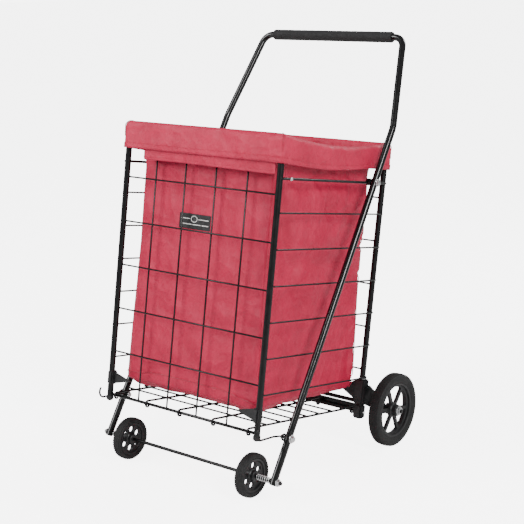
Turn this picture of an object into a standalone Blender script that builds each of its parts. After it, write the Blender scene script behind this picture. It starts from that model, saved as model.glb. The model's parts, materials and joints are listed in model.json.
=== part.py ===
"""Rolling basket trolley: a folding wire basket on four wheels with a fabric liner.

Metres, +Z up, +X to the trolley's right as seen from the front, +Y towards the push
handle. Everything is drawn in the basket's own frame (across, back, up along the posts)
and hangs from one empty, which leans so that all four wheels stand on the floor.
"""

from math import asin, atan2, cos, hypot, pi, radians, sin, tan

import bmesh
import bpy
from mathutils import Matrix, Vector

# Overall sizes
BASKET_WIDTH = 0.440  # between the centres of the left and right posts
BASKET_DEPTH = 0.394  # between the front and rear pivots of a side wire
POST_TOP = 0.568  # height of the top bars above the basket frame's origin
POST_FOOT = -0.0645

# Tubes, rods and wires (radii)
POST_R = 0.007
HANDLE_R = 0.008
WIRE_R = 0.002
SIDE_ROD_R = 0.003
BAR_R = 0.0035
TRAY_R = 0.0025
POST_CORNER_R = 0.030

GAP = 0.0003  # between pieces that touch
SLACK = 0.0006  # round a wire end that turns in a post
SIDE_STANDOFF = 0.0005  # from a post to a side wire that passes it

# Levels, measured up the posts
SIDE_ROD_LEVEL = POST_TOP - 0.084
SIDE_WIRES = 6
SIDE_WIRE_TOP = SIDE_ROD_LEVEL - 0.072
SIDE_WIRE_PITCH = (SIDE_WIRE_TOP - 0.025) / (SIDE_WIRES - 1)
GRID_ROWS = 5
GRID_TOP = SIDE_ROD_LEVEL - 0.0345
GRID_PITCH = (GRID_TOP - 0.0431) / (GRID_ROWS - 1)
GRID_COLUMNS = 4
BAR_LEVEL = -0.0596  # front bottom bar and tray hinge rod
GRID_TOP_WIRE = SIDE_ROD_LEVEL + 0.0125  # joins the tops of the front uprights
REAR_RAKE = 0.0115  # how much further the rear posts lean back, per metre of height
RAKE_LEVEL = SIDE_ROD_LEVEL / 2 + 0.013  # where the raked posts cross the line of the rear pivots
GRID_OVERHANG = 0.006  # of a wire past the last wire it crosses
GRID_WELD = 0.0005  # how deep crossing wires sink into each other

# Push handle, as points (back, up) on the plane of the legs
LEG_SPACING = BASKET_WIDTH + 0.055
GRIP_SPACING = LEG_SPACING - 0.086
LOWER_PIVOT = (0.0770, -0.0740)
UPPER_PIVOT = (BASKET_DEPTH - 0.075, SIDE_ROD_LEVEL + 0.002)
LEG_SLOPE = (UPPER_PIVOT[0] - LOWER_PIVOT[0]) / (UPPER_PIVOT[1] - LOWER_PIVOT[1])
TUBE_END_LEVEL = -0.171
BEND_LEVEL = UPPER_PIVOT[1] + 0.128
GRIP_LINE = (UPPER_PIVOT[0] + 0.130, UPPER_PIVOT[1] + 0.340)
BEND_R = 0.090
GRIP_CORNER_R = 0.028
GRIP_LENGTH = GRIP_SPACING - 0.059
GRIP_R = 0.013

# Wheels
FRONT_AXLE = (LOWER_PIVOT[0] + 0.0034 - 0.0907 * LEG_SLOPE, LOWER_PIVOT[1] - 0.0907)
FRONT_AXLE_R = 0.004
FRONT_WHEEL_R = 0.050
FRONT_WHEEL_WIDTH = 0.023
FRONT_WHEEL_X = LEG_SPACING / 2 - 0.0635
REAR_AXLE = (BASKET_DEPTH + 0.075, -0.0539)
REAR_AXLE_R = 0.005
REAR_WHEEL_R = 0.0884
REAR_WHEEL_WIDTH = 0.030
REAR_WHEEL_X = BASKET_WIDTH / 2 + 0.044

# Tray
TRAY_HALF_WIDTH = BASKET_WIDTH / 2 - 0.022
TRAY_CROSS_WIRES = 7
HOOK_SLACK = 0.0008

# Corner fittings
FRONT_FITTING = 0.021  # outer width of the front sleeves
FRONT_FITTING_REACH = 0.0045  # past the posts' centres, short of the wires that fold down beside them
REAR_FITTING = 0.025
FRONT_FITTING_LEVELS = (-0.036, -0.004)
REAR_FITTING_LEVELS = (-0.040, 0.020)
REAR_BLOCK_LEVELS = (-0.074, -0.0415)
WING_REACH = 0.055
WING_THICK = 0.003
PLATE_THICK = 0.003

# Springs and latches
SPRING_R = 0.0068
SPRING_WIRE_R = 0.001
SPRING_TURNS = 7
SPRING_STEPS = 7  # straight steps in one turn
LATCH_R = 0.0023
LATCH_EYE_R = 0.0062

# Liner
LINER_THICK = 0.0014
COLLAR_DROP = 0.060
LINER_CLEAR = 0.0020  # between cloth and the tubes it passes
BAG_INSET = 0.034  # from the posts' centres to the sides of the hanging bag
BAG_BACK_INSET = 0.018
BAG_FLOOR = (-0.034, -0.008)  # level of the bag's floor at its front and back edges

POST_X = BASKET_WIDTH / 2
LEG_X = LEG_SPACING / 2
SIDES = (("left", -1), ("right", 1))

BLACK_PAINT = ((0.012, 0.012, 0.013), 0.32, 0.0)
BLACK_PLASTIC = ((0.020, 0.020, 0.021), 0.50, 0.0)
RUBBER = ((0.018, 0.018, 0.018), 0.75, 0.0)
FOAM = ((0.030, 0.030, 0.032), 0.85, 0.0)
ZINC = ((0.62, 0.62, 0.60), 0.35, 1.0)
RED_FABRIC = ((0.52, 0.060, 0.105), 0.70, 0.0)


# ---------------------------------------------------------------- scene and materials

for old in list(bpy.data.objects):
    bpy.data.objects.remove(old, do_unlink=True)

PARTS = bpy.data.collections.new("rolling_basket_trolley")
CUTTERS = bpy.data.collections.new("cutters")
CUTTERS.hide_render = True
for group in (PARTS, CUTTERS):
    bpy.context.scene.collection.children.link(group)


def material(name, finish):
    colour, roughness, metallic = finish
    made = bpy.data.materials.get(name) or bpy.data.materials.new(name)
    made.use_nodes = True
    shader = made.node_tree.nodes["Principled BSDF"]
    shader.inputs["Base Color"].default_value = (*colour, 1.0)
    shader.inputs["Roughness"].default_value = roughness
    shader.inputs["Metallic"].default_value = metallic
    return made


def lean_angle():
    """How far the posts lean back so that both pairs of wheels reach the floor."""
    back = REAR_AXLE[0] - FRONT_AXLE[0]
    up = REAR_AXLE[1] - FRONT_AXLE[1]
    rise = asin((REAR_WHEEL_R - FRONT_WHEEL_R) / hypot(back, up))
    return atan2(up, back) - rise


LEAN = lean_angle()


def world_y(point):
    return point[0] * cos(LEAN) + point[1] * sin(LEAN)


def world_z(point):
    return -point[0] * sin(LEAN) + point[1] * cos(LEAN)


BASKET = bpy.data.objects.new("basket_frame", None)
BASKET.rotation_euler = (-LEAN, 0, 0)
BASKET.location = (
    0,
    -(world_y(FRONT_AXLE) - FRONT_WHEEL_R + world_y(GRIP_LINE) + GRIP_R) / 2,
    FRONT_WHEEL_R - world_z(FRONT_AXLE),
)
PARTS.objects.link(BASKET)


# ---------------------------------------------------------------- shape helpers


def finish(obj, mat=None, pivot=None, smooth=True):
    """Hangs a piece from the basket, with its origin on its joint's axis."""
    if smooth and obj.type == "MESH":
        obj.data.shade_smooth()
        obj.data.set_sharp_from_angle(angle=radians(40))
    if mat:
        obj.data.materials.clear()
        obj.data.materials.append(mat)
    if pivot:
        place = Vector((0, *pivot))
        obj.data.transform(Matrix.Translation(-place))
        obj.location = place
    obj.parent = BASKET
    return obj


def mesh_object(name, bm):
    mesh = bpy.data.meshes.new(name)
    bm.normal_update()
    bmesh.ops.recalc_face_normals(bm, faces=bm.faces)
    bm.to_mesh(mesh)
    bm.free()
    obj = bpy.data.objects.new(name, mesh)
    PARTS.objects.link(obj)
    return obj


def rod(name, points, radius, resolution=2, closed=False):
    """A round wire through the points, as a closed mesh."""
    curve = bpy.data.curves.new(name + "_path", "CURVE")
    curve.dimensions = "3D"
    curve.bevel_depth = radius
    curve.bevel_resolution = resolution
    curve.use_fill_caps = True
    spline = curve.splines.new("POLY")
    spline.points.add(len(points) - 1)
    for slot, point in zip(spline.points, points):
        slot.co = (*point, 1)
    spline.use_cyclic_u = closed
    drawn = bpy.data.objects.new(name + "_path", curve)
    PARTS.objects.link(drawn)
    mesh = bpy.data.meshes.new_from_object(drawn)
    mesh.name = name
    bm = bmesh.new()
    bm.from_mesh(mesh)
    bmesh.ops.remove_doubles(bm, verts=bm.verts, dist=1e-6)
    bmesh.ops.recalc_face_normals(bm, faces=bm.faces)
    bm.to_mesh(mesh)
    bm.free()
    obj = bpy.data.objects.new(name, mesh)
    obj.matrix_world = drawn.matrix_world
    PARTS.objects.link(obj)
    bpy.data.objects.remove(drawn)
    bpy.data.curves.remove(curve)
    return obj


def cylinder(name, start, end, radius, sides=16, radius_end=None):
    """A cylinder or cone between two points."""
    start, end = Vector(start), Vector(end)
    along = end - start
    bm = bmesh.new()
    bmesh.ops.create_cone(
        bm,
        cap_ends=True,
        segments=sides,
        radius1=radius,
        radius2=radius if radius_end is None else radius_end,
        depth=along.length,
    )
    turn = along.to_track_quat("Z", "Y").to_matrix().to_4x4()
    bm.transform(Matrix.Translation((start + end) / 2) @ turn)
    return mesh_object(name, bm)


def box(name, low, high, edge=0.0):
    """A box between two corners, its edges rounded by edge."""
    low, high = Vector(low), Vector(high)
    bm = bmesh.new()
    bmesh.ops.create_cube(bm, size=1)
    bm.transform(Matrix.Translation((low + high) / 2) @ Matrix.Diagonal((*(high - low), 1)))
    if edge:
        bmesh.ops.bevel(bm, geom=bm.edges, offset=edge, segments=2, affect="EDGES")
    return mesh_object(name, bm)


def plate(name, outline, x_low, x_high):
    """A flat plate across X, from an outline of (back, up) points."""
    bm = bmesh.new()
    low = [bm.verts.new((x_low, *point)) for point in outline]
    face = bm.faces.new(low)
    made = bmesh.ops.extrude_face_region(bm, geom=[face])
    raised = [item for item in made["geom"] if isinstance(item, bmesh.types.BMVert)]
    bmesh.ops.translate(bm, verts=raised, vec=(x_high - x_low, 0, 0))
    return mesh_object(name, bm)


def boolean(target, others, operation):
    """Joins or cuts the target with closed meshes, which go to the cutters."""
    group = bpy.data.collections.new(f"{target.name}_{operation.lower()}")
    CUTTERS.children.link(group)
    for other in others:
        PARTS.objects.unlink(other)
        group.objects.link(other)
        other.hide_render = True
        other.display_type = "WIRE"
        other.parent = BASKET
    modifier = target.modifiers.new(operation.lower(), "BOOLEAN")
    modifier.operation = operation
    modifier.operand_type = "COLLECTION"
    modifier.collection = group
    modifier.solver = "EXACT"
    return target


def arc(centre, radius, start, end, steps, plane):
    """Points on an arc; plane maps (a, b) to a point."""
    return [
        plane(
            centre[0] + radius * cos(start + (end - start) * n / steps),
            centre[1] + radius * sin(start + (end - start) * n / steps),
        )
        for n in range(steps + 1)
    ]


def rounded(points, radii, steps=4):
    """The path through the points, with each inner corner replaced by an arc."""
    path = [Vector(points[0])]
    for before, corner, after, radius in zip(points, points[1:], points[2:], radii):
        before, corner, after = Vector(before), Vector(corner), Vector(after)
        into, out = (before - corner).normalized(), (after - corner).normalized()
        half = into.angle(out) / 2
        centre = corner + (into + out).normalized() * radius / sin(half)
        first = corner + into * radius / tan(half)
        last = corner + out * radius / tan(half)
        normal = (first - centre).cross(last - centre).normalized()
        sweep = (first - centre).angle(last - centre)
        for n in range(steps + 1):
            turn = Matrix.Rotation(sweep * n / steps, 3, normal)
            path.append(centre + turn @ (first - centre))
    path.append(Vector(points[-1]))
    return path


def lathe(name, profile, x_mid, axle, sides):
    """A turned shape about an axle along X, from (radius, offset along X) points."""
    bm = bmesh.new()
    ring = [bm.verts.new((x_mid + along, 0, radius)) for radius, along in profile]
    edges = [bm.edges.new((ring[n], ring[(n + 1) % len(ring)])) for n in range(len(ring))]
    bmesh.ops.spin(
        bm,
        geom=ring + edges,
        cent=(x_mid, 0, 0),
        axis=(1, 0, 0),
        angle=2 * pi,
        steps=sides,
        use_duplicate=False,
    )
    bmesh.ops.remove_doubles(bm, verts=bm.verts, dist=1e-6)
    bm.transform(Matrix.Translation((0, *axle)))
    return mesh_object(name, bm)


def rear_line(level):
    """Where the raked rear posts stand at a level."""
    return BASKET_DEPTH + REAR_RAKE * (level - RAKE_LEVEL)


def side_plane(radius):
    return POST_X + POST_R + SIDE_STANDOFF + radius


# ---------------------------------------------------------------- side rods and wires


def side_levels():
    return [SIDE_WIRE_TOP - SIDE_WIRE_PITCH * n for n in range(SIDE_WIRES)]


def side_wire(name, sign, level, radius):
    """A straight wire whose ends turn in and pivot in the front and rear posts."""
    outer, inner = sign * side_plane(radius), sign * (POST_X - POST_R / 2)
    corner = radius * 1.5
    points = [
        (inner, 0, level),
        (outer, 0, level),
        (outer, BASKET_DEPTH, level),
        (inner, BASKET_DEPTH, level),
    ]
    return rod(name, rounded(points, (corner, corner), 3), radius)


def pivot_bores(back):
    """Cutters for the blind holes that hold the ends of the side wires."""
    found = []
    rows = [(SIDE_ROD_LEVEL, SIDE_ROD_R)] + [(level, WIRE_R) for level in side_levels()]
    for side, sign in SIDES:
        for n, (level, radius) in enumerate(rows):
            inner = sign * (POST_X - POST_R / 2 - 2 * GAP)
            outer = sign * (POST_X + 2 * POST_R)
            start, end = (inner, back, level), (outer, back, level)
            found.append(cylinder(f"bore_{back:.0f}_{side}_{n}", start, end, radius + SLACK, 8))
    return found


def top_side_rods():
    paint = material("black_painted_steel", BLACK_PAINT)
    zinc = material("zinc_plated_steel", ZINC)
    pivot = (BASKET_DEPTH, SIDE_ROD_LEVEL)
    leg_face = LEG_X - HANDLE_R
    for side, sign in SIDES:
        bar = side_wire(f"side_rod_{side}", sign, SIDE_ROD_LEVEL, SIDE_ROD_R)
        boss = cylinder(
            f"boss_{side}",
            (sign * (POST_X + POST_R + 2 * SIDE_STANDOFF), *UPPER_PIVOT),
            (sign * (leg_face - 2 * GAP), *UPPER_PIVOT),
            0.008,
        )
        boolean(bar, [boss], "UNION")
        finish(bar, paint, pivot)
        bolt = cylinder(
            f"upper_pivot_bolt_{side}",
            (sign * (leg_face - GAP), *UPPER_PIVOT),
            (sign * (LEG_X + HANDLE_R + 0.002), *UPPER_PIVOT),
            0.003,
        )
        head = cylinder(
            f"upper_head_{side}",
            (sign * (LEG_X + HANDLE_R + GAP), *UPPER_PIVOT),
            (sign * (LEG_X + HANDLE_R + 0.005), *UPPER_PIVOT),
            0.0075,
            6,
        )
        boolean(bolt, [head], "UNION")
        finish(bolt, zinc, pivot)
        place = (sign * (side_plane(SIDE_ROD_R) + SIDE_ROD_R + GAP), 0.022, SIDE_ROD_LEVEL)
        tip = (place[0] + sign * 0.003, *place[1:])
        finish(cylinder(f"side_rod_rivet_{side}", place, tip, 0.0042, 12), zinc, pivot)


def thin_side_wires():
    paint = material("black_painted_steel", BLACK_PAINT)
    for n, level in enumerate(side_levels(), 1):
        for side, sign in SIDES:
            wire = side_wire(f"side_wire_{n}_{side}", sign, level, WIRE_R)
            finish(wire, paint, (BASKET_DEPTH, level))


# ---------------------------------------------------------------- front and rear panels


def frame_tube(name, line):
    """An inverted U of tube with rounded shoulders; line gives its depth at a level."""
    points = [
        (-POST_X, line(POST_FOOT), POST_FOOT),
        (-POST_X, line(POST_TOP), POST_TOP),
        (POST_X, line(POST_TOP), POST_TOP),
        (POST_X, line(POST_FOOT), POST_FOOT),
    ]
    return rod(name, rounded(points, (POST_CORNER_R, POST_CORNER_R), 4), POST_R, 3)


def wire_grid(name, line, rows, foot, top):
    """Level wires between the posts, and upright ones welded behind them from foot to top."""
    reach = POST_X - POST_R - GAP
    behind = 2 * WIRE_R - GRID_WELD
    wires = [
        rod(f"{name}_row_{n}", [(-reach, line(level), level), (reach, line(level), level)], WIRE_R)
        for n, level in enumerate(rows)
    ]
    for n in range(1, GRID_COLUMNS + 1):
        x = -POST_X + BASKET_WIDTH * n / (GRID_COLUMNS + 1)
        path = [(x, line(level) + behind, level) for level in (top, foot)]
        wires.append(rod(f"{name}_upright_{n}", path, WIRE_R))
    return wires


def grid_rows():
    return [GRID_TOP - GRID_PITCH * n for n in range(GRID_ROWS)]


def front_grid():
    """The grid, its thicker bottom bar, and the short wire that joins the uprights' tops."""
    reach = POST_X - POST_R - GAP
    wires = wire_grid("front_grid", lambda level: 0.0, grid_rows(), BAR_LEVEL, GRID_TOP_WIRE + GRID_OVERHANG)
    wires.append(rod("front_grid_bar", [(-reach, 0, BAR_LEVEL), (reach, 0, BAR_LEVEL)], BAR_R))
    end = BASKET_WIDTH * (GRID_COLUMNS - 1) / (GRID_COLUMNS + 1) / 2 + GRID_OVERHANG
    wires.append(rod("front_grid_top", [(-end, 0, GRID_TOP_WIRE), (end, 0, GRID_TOP_WIRE)], WIRE_R))
    wires[0].name = "front_grid"
    return boolean(wires[0], wires[1:], "UNION")


def rear_grid():
    rows = grid_rows()
    wires = wire_grid("rear_grid", rear_line, rows, rows[-1] - GRID_OVERHANG, GRID_TOP + GRID_OVERHANG)
    wires[0].name = "rear_grid"
    return boolean(wires[0], wires[1:], "UNION")


def front_panel():
    paint = material("black_painted_steel", BLACK_PAINT)
    plastic = material("black_plastic", BLACK_PLASTIC)
    pivot = (0, SIDE_ROD_LEVEL)
    tube = frame_tube("front_frame_tube", lambda level: 0.0)
    boolean(tube, pivot_bores(0.0), "DIFFERENCE")
    finish(tube, paint, pivot)
    finish(front_grid(), paint, pivot)
    low, high = FRONT_FITTING_LEVELS
    half = FRONT_FITTING / 2
    for side, sign in SIDES:
        centre = sign * POST_X
        near, far = sorted((centre - sign * half, centre + sign * FRONT_FITTING_REACH))
        sleeve = box(f"front_corner_gusset_{side}", (near, -half, low), (far, half, high), 0.003)
        wing = wing_plate(f"front_wing_{side}", sign, half - 0.002, low, high, 0.0)
        boolean(sleeve, [wing], "UNION")
        hole = cylinder(
            f"front_sleeve_hole_{side}", (centre, 0, low - 0.02), (centre, 0, high + 0.02), POST_R + 2 * GAP, 24
        )
        boolean(sleeve, [hole], "DIFFERENCE")
        finish(sleeve, plastic, pivot)
        cap = lathe_up(
            f"front_foot_cap_{side}",
            [(0.0084, 0.0), (0.0084, -0.006), (0.0064, -0.0095), (0.0030, -0.0112)],
            (centre, 0, POST_FOOT - GAP),
        )
        finish(cap, plastic, pivot)


def wing_plate(name, sign, inner, low, high, back):
    """A triangular gusset that tapers from a sleeve to a tip at mid height."""
    middle = (low + high) / 2
    root = POST_X - inner
    outline = [(root, low + 0.002), (root, high - 0.002), (root - WING_REACH, middle)]
    bm = bmesh.new()
    face = bm.faces.new(
        [bm.verts.new((sign * x, back - WING_THICK / 2, level)) for x, level in outline]
    )
    made = bmesh.ops.extrude_face_region(bm, geom=[face])
    raised = [item for item in made["geom"] if isinstance(item, bmesh.types.BMVert)]
    bmesh.ops.translate(bm, verts=raised, vec=(0, WING_THICK, 0))
    return mesh_object(name, bm)


def lathe_up(name, profile, place, sides=16):
    """A solid turned shape about the up axis, from (radius, height) points."""
    bm = bmesh.new()
    rings = [
        [
            bm.verts.new((radius * cos(2 * pi * n / sides), radius * sin(2 * pi * n / sides), height))
            for n in range(sides)
        ]
        for radius, height in profile
    ]
    for upper, lower in zip(rings, rings[1:]):
        for n in range(sides):
            bm.faces.new((upper[n], upper[(n + 1) % sides], lower[(n + 1) % sides], lower[n]))
    bm.faces.new(rings[0])
    bm.faces.new(rings[-1])
    bm.transform(Matrix.Translation(place))
    return mesh_object(name, bm)


def rear_panel():
    paint = material("black_painted_steel", BLACK_PAINT)
    plastic = material("black_plastic", BLACK_PLASTIC)
    tube = frame_tube("rear_frame_tube", rear_line)
    boolean(tube, pivot_bores(BASKET_DEPTH), "DIFFERENCE")
    finish(tube, paint)
    finish(rear_grid(), paint)
    block_half = REAR_FITTING / 2 - 0.0015
    reach = POST_X - block_half - GAP
    channel_front = BASKET_DEPTH + SIDE_ROD_R + HOOK_SLACK + 2 * TRAY_R + 0.001
    channel = box(
        "rear_cross_channel",
        (-reach - 0.006, channel_front, BAR_LEVEL - 0.001),
        (reach + 0.006, channel_front + 0.012, BAR_LEVEL + 0.013),
        0.002,
    )
    hinge = (BASKET_DEPTH, BAR_LEVEL)
    rod_end = POST_X - POST_R - 0.004
    hinge_rod = cylinder("tray_hinge_rod", (-rod_end, *hinge), (rod_end, *hinge), SIDE_ROD_R, 12)
    finish(hinge_rod, paint)
    for side, sign in SIDES:
        sleeve = rear_sleeve(side, sign)
        finish(sleeve, plastic)
        block = rear_block(side, sign, block_half, rod_end)
        finish(block, plastic)
    notch = [
        box(
            f"channel_end_{side}",
            (sign * POST_X - block_half - GAP, channel_front - 0.05, BAR_LEVEL - 0.05),
            (sign * POST_X + block_half + GAP, channel_front + 0.05, BAR_LEVEL + 0.05),
        )
        for side, sign in SIDES
    ]
    boolean(channel, notch, "DIFFERENCE")
    finish(channel, paint)


def rear_sleeve(side, sign):
    low, high = REAR_FITTING_LEVELS
    half, centre = REAR_FITTING / 2, sign * POST_X
    line = rear_line((low + high) / 2)
    sleeve = box(
        f"rear_corner_bracket_{side}", (centre - half, line - half, low), (centre + half, line + half, high), 0.003
    )
    wing = wing_plate(f"rear_wing_{side}", sign, half - 0.002, low, high, BASKET_DEPTH + 0.0035)
    boolean(sleeve, [wing], "UNION")
    start, end = (centre, rear_line(low - 0.02), low - 0.02), (centre, rear_line(high + 0.02), high + 0.02)
    hole = cylinder(f"rear_sleeve_hole_{side}", start, end, POST_R + 2 * GAP, 24)
    return boolean(sleeve, [hole], "DIFFERENCE")


def rear_block(side, sign, half, rod_end):
    low, high = REAR_BLOCK_LEVELS
    centre, line = sign * POST_X, rear_line((low + high) / 2)
    block = box(
        f"rear_foot_block_{side}", (centre - half, line - half, low), (centre + half, line + half, high), 0.003
    )
    start = (centre, rear_line(POST_FOOT), POST_FOOT - 2 * GAP)
    end = (centre, rear_line(high + 0.02), high + 0.02)
    hole = cylinder(f"rear_block_hole_{side}", start, end, POST_R + 2 * GAP, 24)
    start = (sign * (rod_end - 0.03), BASKET_DEPTH, BAR_LEVEL)
    end = (sign * (rod_end + GAP), BASKET_DEPTH, BAR_LEVEL)
    seat = cylinder(f"rear_rod_seat_{side}", start, end, SIDE_ROD_R + 2 * GAP, 16)
    return boolean(block, [hole, seat], "DIFFERENCE")


# ---------------------------------------------------------------- rear axle


def rear_axle():
    paint = material("black_painted_steel", BLACK_PAINT)
    zinc = material("zinc_plated_steel", ZINC)
    plate_in = POST_X + REAR_FITTING / 2 + GAP
    plate_out = plate_in + PLATE_THICK
    hub_end = REAR_WHEEL_X + REAR_WHEEL_WIDTH / 2 + 0.002
    axle_end = hub_end + 0.009
    line = rear_line(0)
    for side, sign in SIDES:
        end_arc = arc(REAR_AXLE, 0.013, radians(60), radians(-120), 8, lambda a, b: (a, b))
        outline = [(line - 0.010, -0.036), (line - 0.010, 0.004), (line + 0.012, 0.006)] + end_arc
        bracket = plate(f"axle_bracket_{side}", outline, sign * plate_in, sign * plate_out)
        start = (sign * (plate_in - 0.01), *REAR_AXLE)
        end = (sign * (plate_out + 0.01), *REAR_AXLE)
        hole = cylinder(f"axle_plate_hole_{side}", start, end, REAR_AXLE_R + GAP, 24)
        boolean(bracket, [hole], "DIFFERENCE")
        finish(bracket, paint)
        start = (sign * (hub_end + 0.001), *REAR_AXLE)
        nut = cylinder(f"rear_axle_nut_{side}", start, (sign * (hub_end + 0.0065), *REAR_AXLE), 0.009, 6)
        start = (sign * (hub_end + GAP), *REAR_AXLE)
        washer = cylinder(
            f"rear_axle_washer_{side}", start, (sign * (hub_end + 0.0022), *REAR_AXLE), 0.0112, 20
        )
        boolean(nut, [washer], "UNION")
        start = (sign * (hub_end - 0.01), *REAR_AXLE)
        bore = cylinder(f"rear_nut_bore_{side}", start, (sign * (axle_end + 0.01), *REAR_AXLE), REAR_AXLE_R + GAP, 24)
        boolean(nut, [bore], "DIFFERENCE")
        finish(nut, zinc)
    axle = cylinder("rear_axle", (-axle_end, *REAR_AXLE), (axle_end, *REAR_AXLE), REAR_AXLE_R, 20)
    finish(axle, paint)


# ---------------------------------------------------------------- tray


def ring_points(centre, radius, start, sweep, steps, x):
    return arc(centre, radius, radians(start), radians(start + sweep), steps, lambda a, b: (x, a, b))


def tray():
    """Five long wires hooked round the front bar and the hinge rod, and thin cross wires."""
    paint = material("black_painted_steel", BLACK_PAINT)
    front_ring = BAR_R + HOOK_SLACK + TRAY_R
    rear_ring = SIDE_ROD_R + HOOK_SLACK + TRAY_R
    wires = []
    for n in range(5):
        x = -TRAY_HALF_WIDTH + TRAY_HALF_WIDTH * n / 2
        front = ring_points((0, BAR_LEVEL), front_ring, -60, -210, 6, x)
        back = ring_points((BASKET_DEPTH, BAR_LEVEL), rear_ring, 90, -300, 7, x)
        wires.append(rod(f"tray_long_{n}", front + back, TRAY_R))
    level = BAR_LEVEL + front_ring + TRAY_R + WIRE_R - GRID_WELD
    for n in range(TRAY_CROSS_WIRES):
        back = BASKET_DEPTH * (n + 1) / (TRAY_CROSS_WIRES + 1)
        start, end = (-TRAY_HALF_WIDTH - 0.006, back, level), (TRAY_HALF_WIDTH + 0.006, back, level)
        wires.append(rod(f"tray_cross_{n}", [start, end], WIRE_R))
    wires[0].name = "tray_frame"
    boolean(wires[0], wires[1:], "UNION")
    finish(wires[0], paint, (BASKET_DEPTH, BAR_LEVEL))


# ---------------------------------------------------------------- push handle


def handle():
    paint = material("black_painted_steel", BLACK_PAINT)
    zinc = material("zinc_plated_steel", ZINC)
    foot, bend = ((-LEG_X, LOWER_PIVOT[0] + LEG_SLOPE * (level - LOWER_PIVOT[1]), level)
                  for level in (TUBE_END_LEVEL, BEND_LEVEL))
    half = [foot, bend, (-GRIP_SPACING / 2, *GRIP_LINE)]
    points = half + [(-x, back, up) for x, back, up in reversed(half)]
    path = rounded(points, (BEND_R, GRIP_CORNER_R, GRIP_CORNER_R, BEND_R), 5)
    tube = rod("handle_tube", path, HANDLE_R, 4)
    bores = []
    for side, sign in SIDES:
        for name, at, radius in (
            ("upper", UPPER_PIVOT, 0.003),
            ("lower", LOWER_PIVOT, 0.003),
            ("axle", FRONT_AXLE, FRONT_AXLE_R),
        ):
            start = (sign * (LEG_X - 2 * HANDLE_R), *at)
            end = (sign * (LEG_X + 2 * HANDLE_R), *at)
            bores.append(cylinder(f"{name}_bore_{side}", start, end, radius + 2 * GAP, 16))
    boolean(tube, bores, "DIFFERENCE")
    finish(tube, paint, UPPER_PIVOT)

    foam_bore = HANDLE_R + GAP
    profile = [
        (foam_bore, -GRIP_LENGTH / 2),
        (GRIP_R - 0.002, -GRIP_LENGTH / 2),
        (GRIP_R, -GRIP_LENGTH / 2 + 0.003),
        (GRIP_R, GRIP_LENGTH / 2 - 0.003),
        (GRIP_R - 0.002, GRIP_LENGTH / 2),
        (foam_bore, GRIP_LENGTH / 2),
    ]
    finish(lathe("foam_grip", profile, 0, GRIP_LINE, 24), material("grip_foam", FOAM), UPPER_PIVOT)

    for side, sign in SIDES:
        inner = POST_X + POST_R + 0.003
        start, end = (sign * inner, *LOWER_PIVOT), (sign * (LEG_X + HANDLE_R + 0.003), *LOWER_PIVOT)
        bolt = cylinder(f"lower_pivot_bolt_{side}", start, end, 0.003, 12)
        start = (sign * (LEG_X + HANDLE_R + GAP), *LOWER_PIVOT)
        washer = cylinder(
            f"lower_washer_{side}", start, (sign * (LEG_X + HANDLE_R + 0.0018), *LOWER_PIVOT), 0.0095, 20
        )
        start = (sign * (LEG_X + HANDLE_R + 0.001), *LOWER_PIVOT)
        head = cylinder(
            f"lower_head_{side}", start, (sign * (LEG_X + HANDLE_R + 0.0065), *LOWER_PIVOT), 0.0068, 6
        )
        start = (sign * (inner - 0.001), *LOWER_PIVOT)
        nut = cylinder(f"lower_nut_{side}", start, (sign * (inner + 0.0018), *LOWER_PIVOT), 0.006, 6)
        boolean(bolt, [washer, head, nut], "UNION")
        finish(bolt, zinc, UPPER_PIVOT)

    axle_end = LEG_X + HANDLE_R + 0.010
    axle = cylinder("front_axle", (-axle_end, *FRONT_AXLE), (axle_end, *FRONT_AXLE), FRONT_AXLE_R, 16)
    finish(axle, paint, UPPER_PIVOT)
    wheel_face = FRONT_WHEEL_X + FRONT_WHEEL_WIDTH / 2 + 0.003
    for side, sign in SIDES:
        start = (sign * (LEG_X + HANDLE_R + GAP), *FRONT_AXLE)
        end = (sign * (LEG_X + HANDLE_R + 0.006), *FRONT_AXLE)
        nut = cylinder(f"front_axle_nut_{side}", start, end, 0.0075, 6)
        start = (sign * (LEG_X + HANDLE_R - 0.01), *FRONT_AXLE)
        end = (sign * (axle_end + 0.01), *FRONT_AXLE)
        boolean(nut, [cylinder(f"front_nut_bore_{side}", start, end, FRONT_AXLE_R + GAP, 16)], "DIFFERENCE")
        finish(nut, zinc, UPPER_PIVOT)
        low, high = wheel_face + 2 * GAP, LEG_X - HANDLE_R - 2 * GAP
        steps = SPRING_TURNS * SPRING_STEPS
        coil = [
            (
                sign * (low + SPRING_WIRE_R + (high - low - 2 * SPRING_WIRE_R) * n / steps),
                FRONT_AXLE[0] + (SPRING_R - SPRING_WIRE_R) * cos(2 * pi * n / SPRING_STEPS),
                FRONT_AXLE[1] + (SPRING_R - SPRING_WIRE_R) * sin(2 * pi * n / SPRING_STEPS),
            )
            for n in range(steps + 1)
        ]
        finish(rod(f"axle_spring_{side}", coil, SPRING_WIRE_R, 0), zinc, UPPER_PIVOT)


def latches():
    """A J-shaped rod each side, from the lower pivot bolt to in front of the post's foot."""
    paint = material("black_painted_steel", BLACK_PAINT)
    x = POST_X + POST_R + 0.008
    back, up = LOWER_PIVOT
    for side, sign in SIDES:
        eye = ring_points(LOWER_PIVOT, LATCH_EYE_R, 150, -330, 8, sign * x)
        run = [(sign * x, 0.040, up + 0.006), (sign * x, -0.004, up + 0.004)]
        tip = ring_points((-0.006, up + 0.018), 0.014, -90, -130, 6, sign * x)
        hook = rod(f"latch_hook_{side}", list(reversed(eye)) + run + tip, LATCH_R)
        finish(hook, paint, LOWER_PIVOT)


# ---------------------------------------------------------------- wheels


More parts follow.
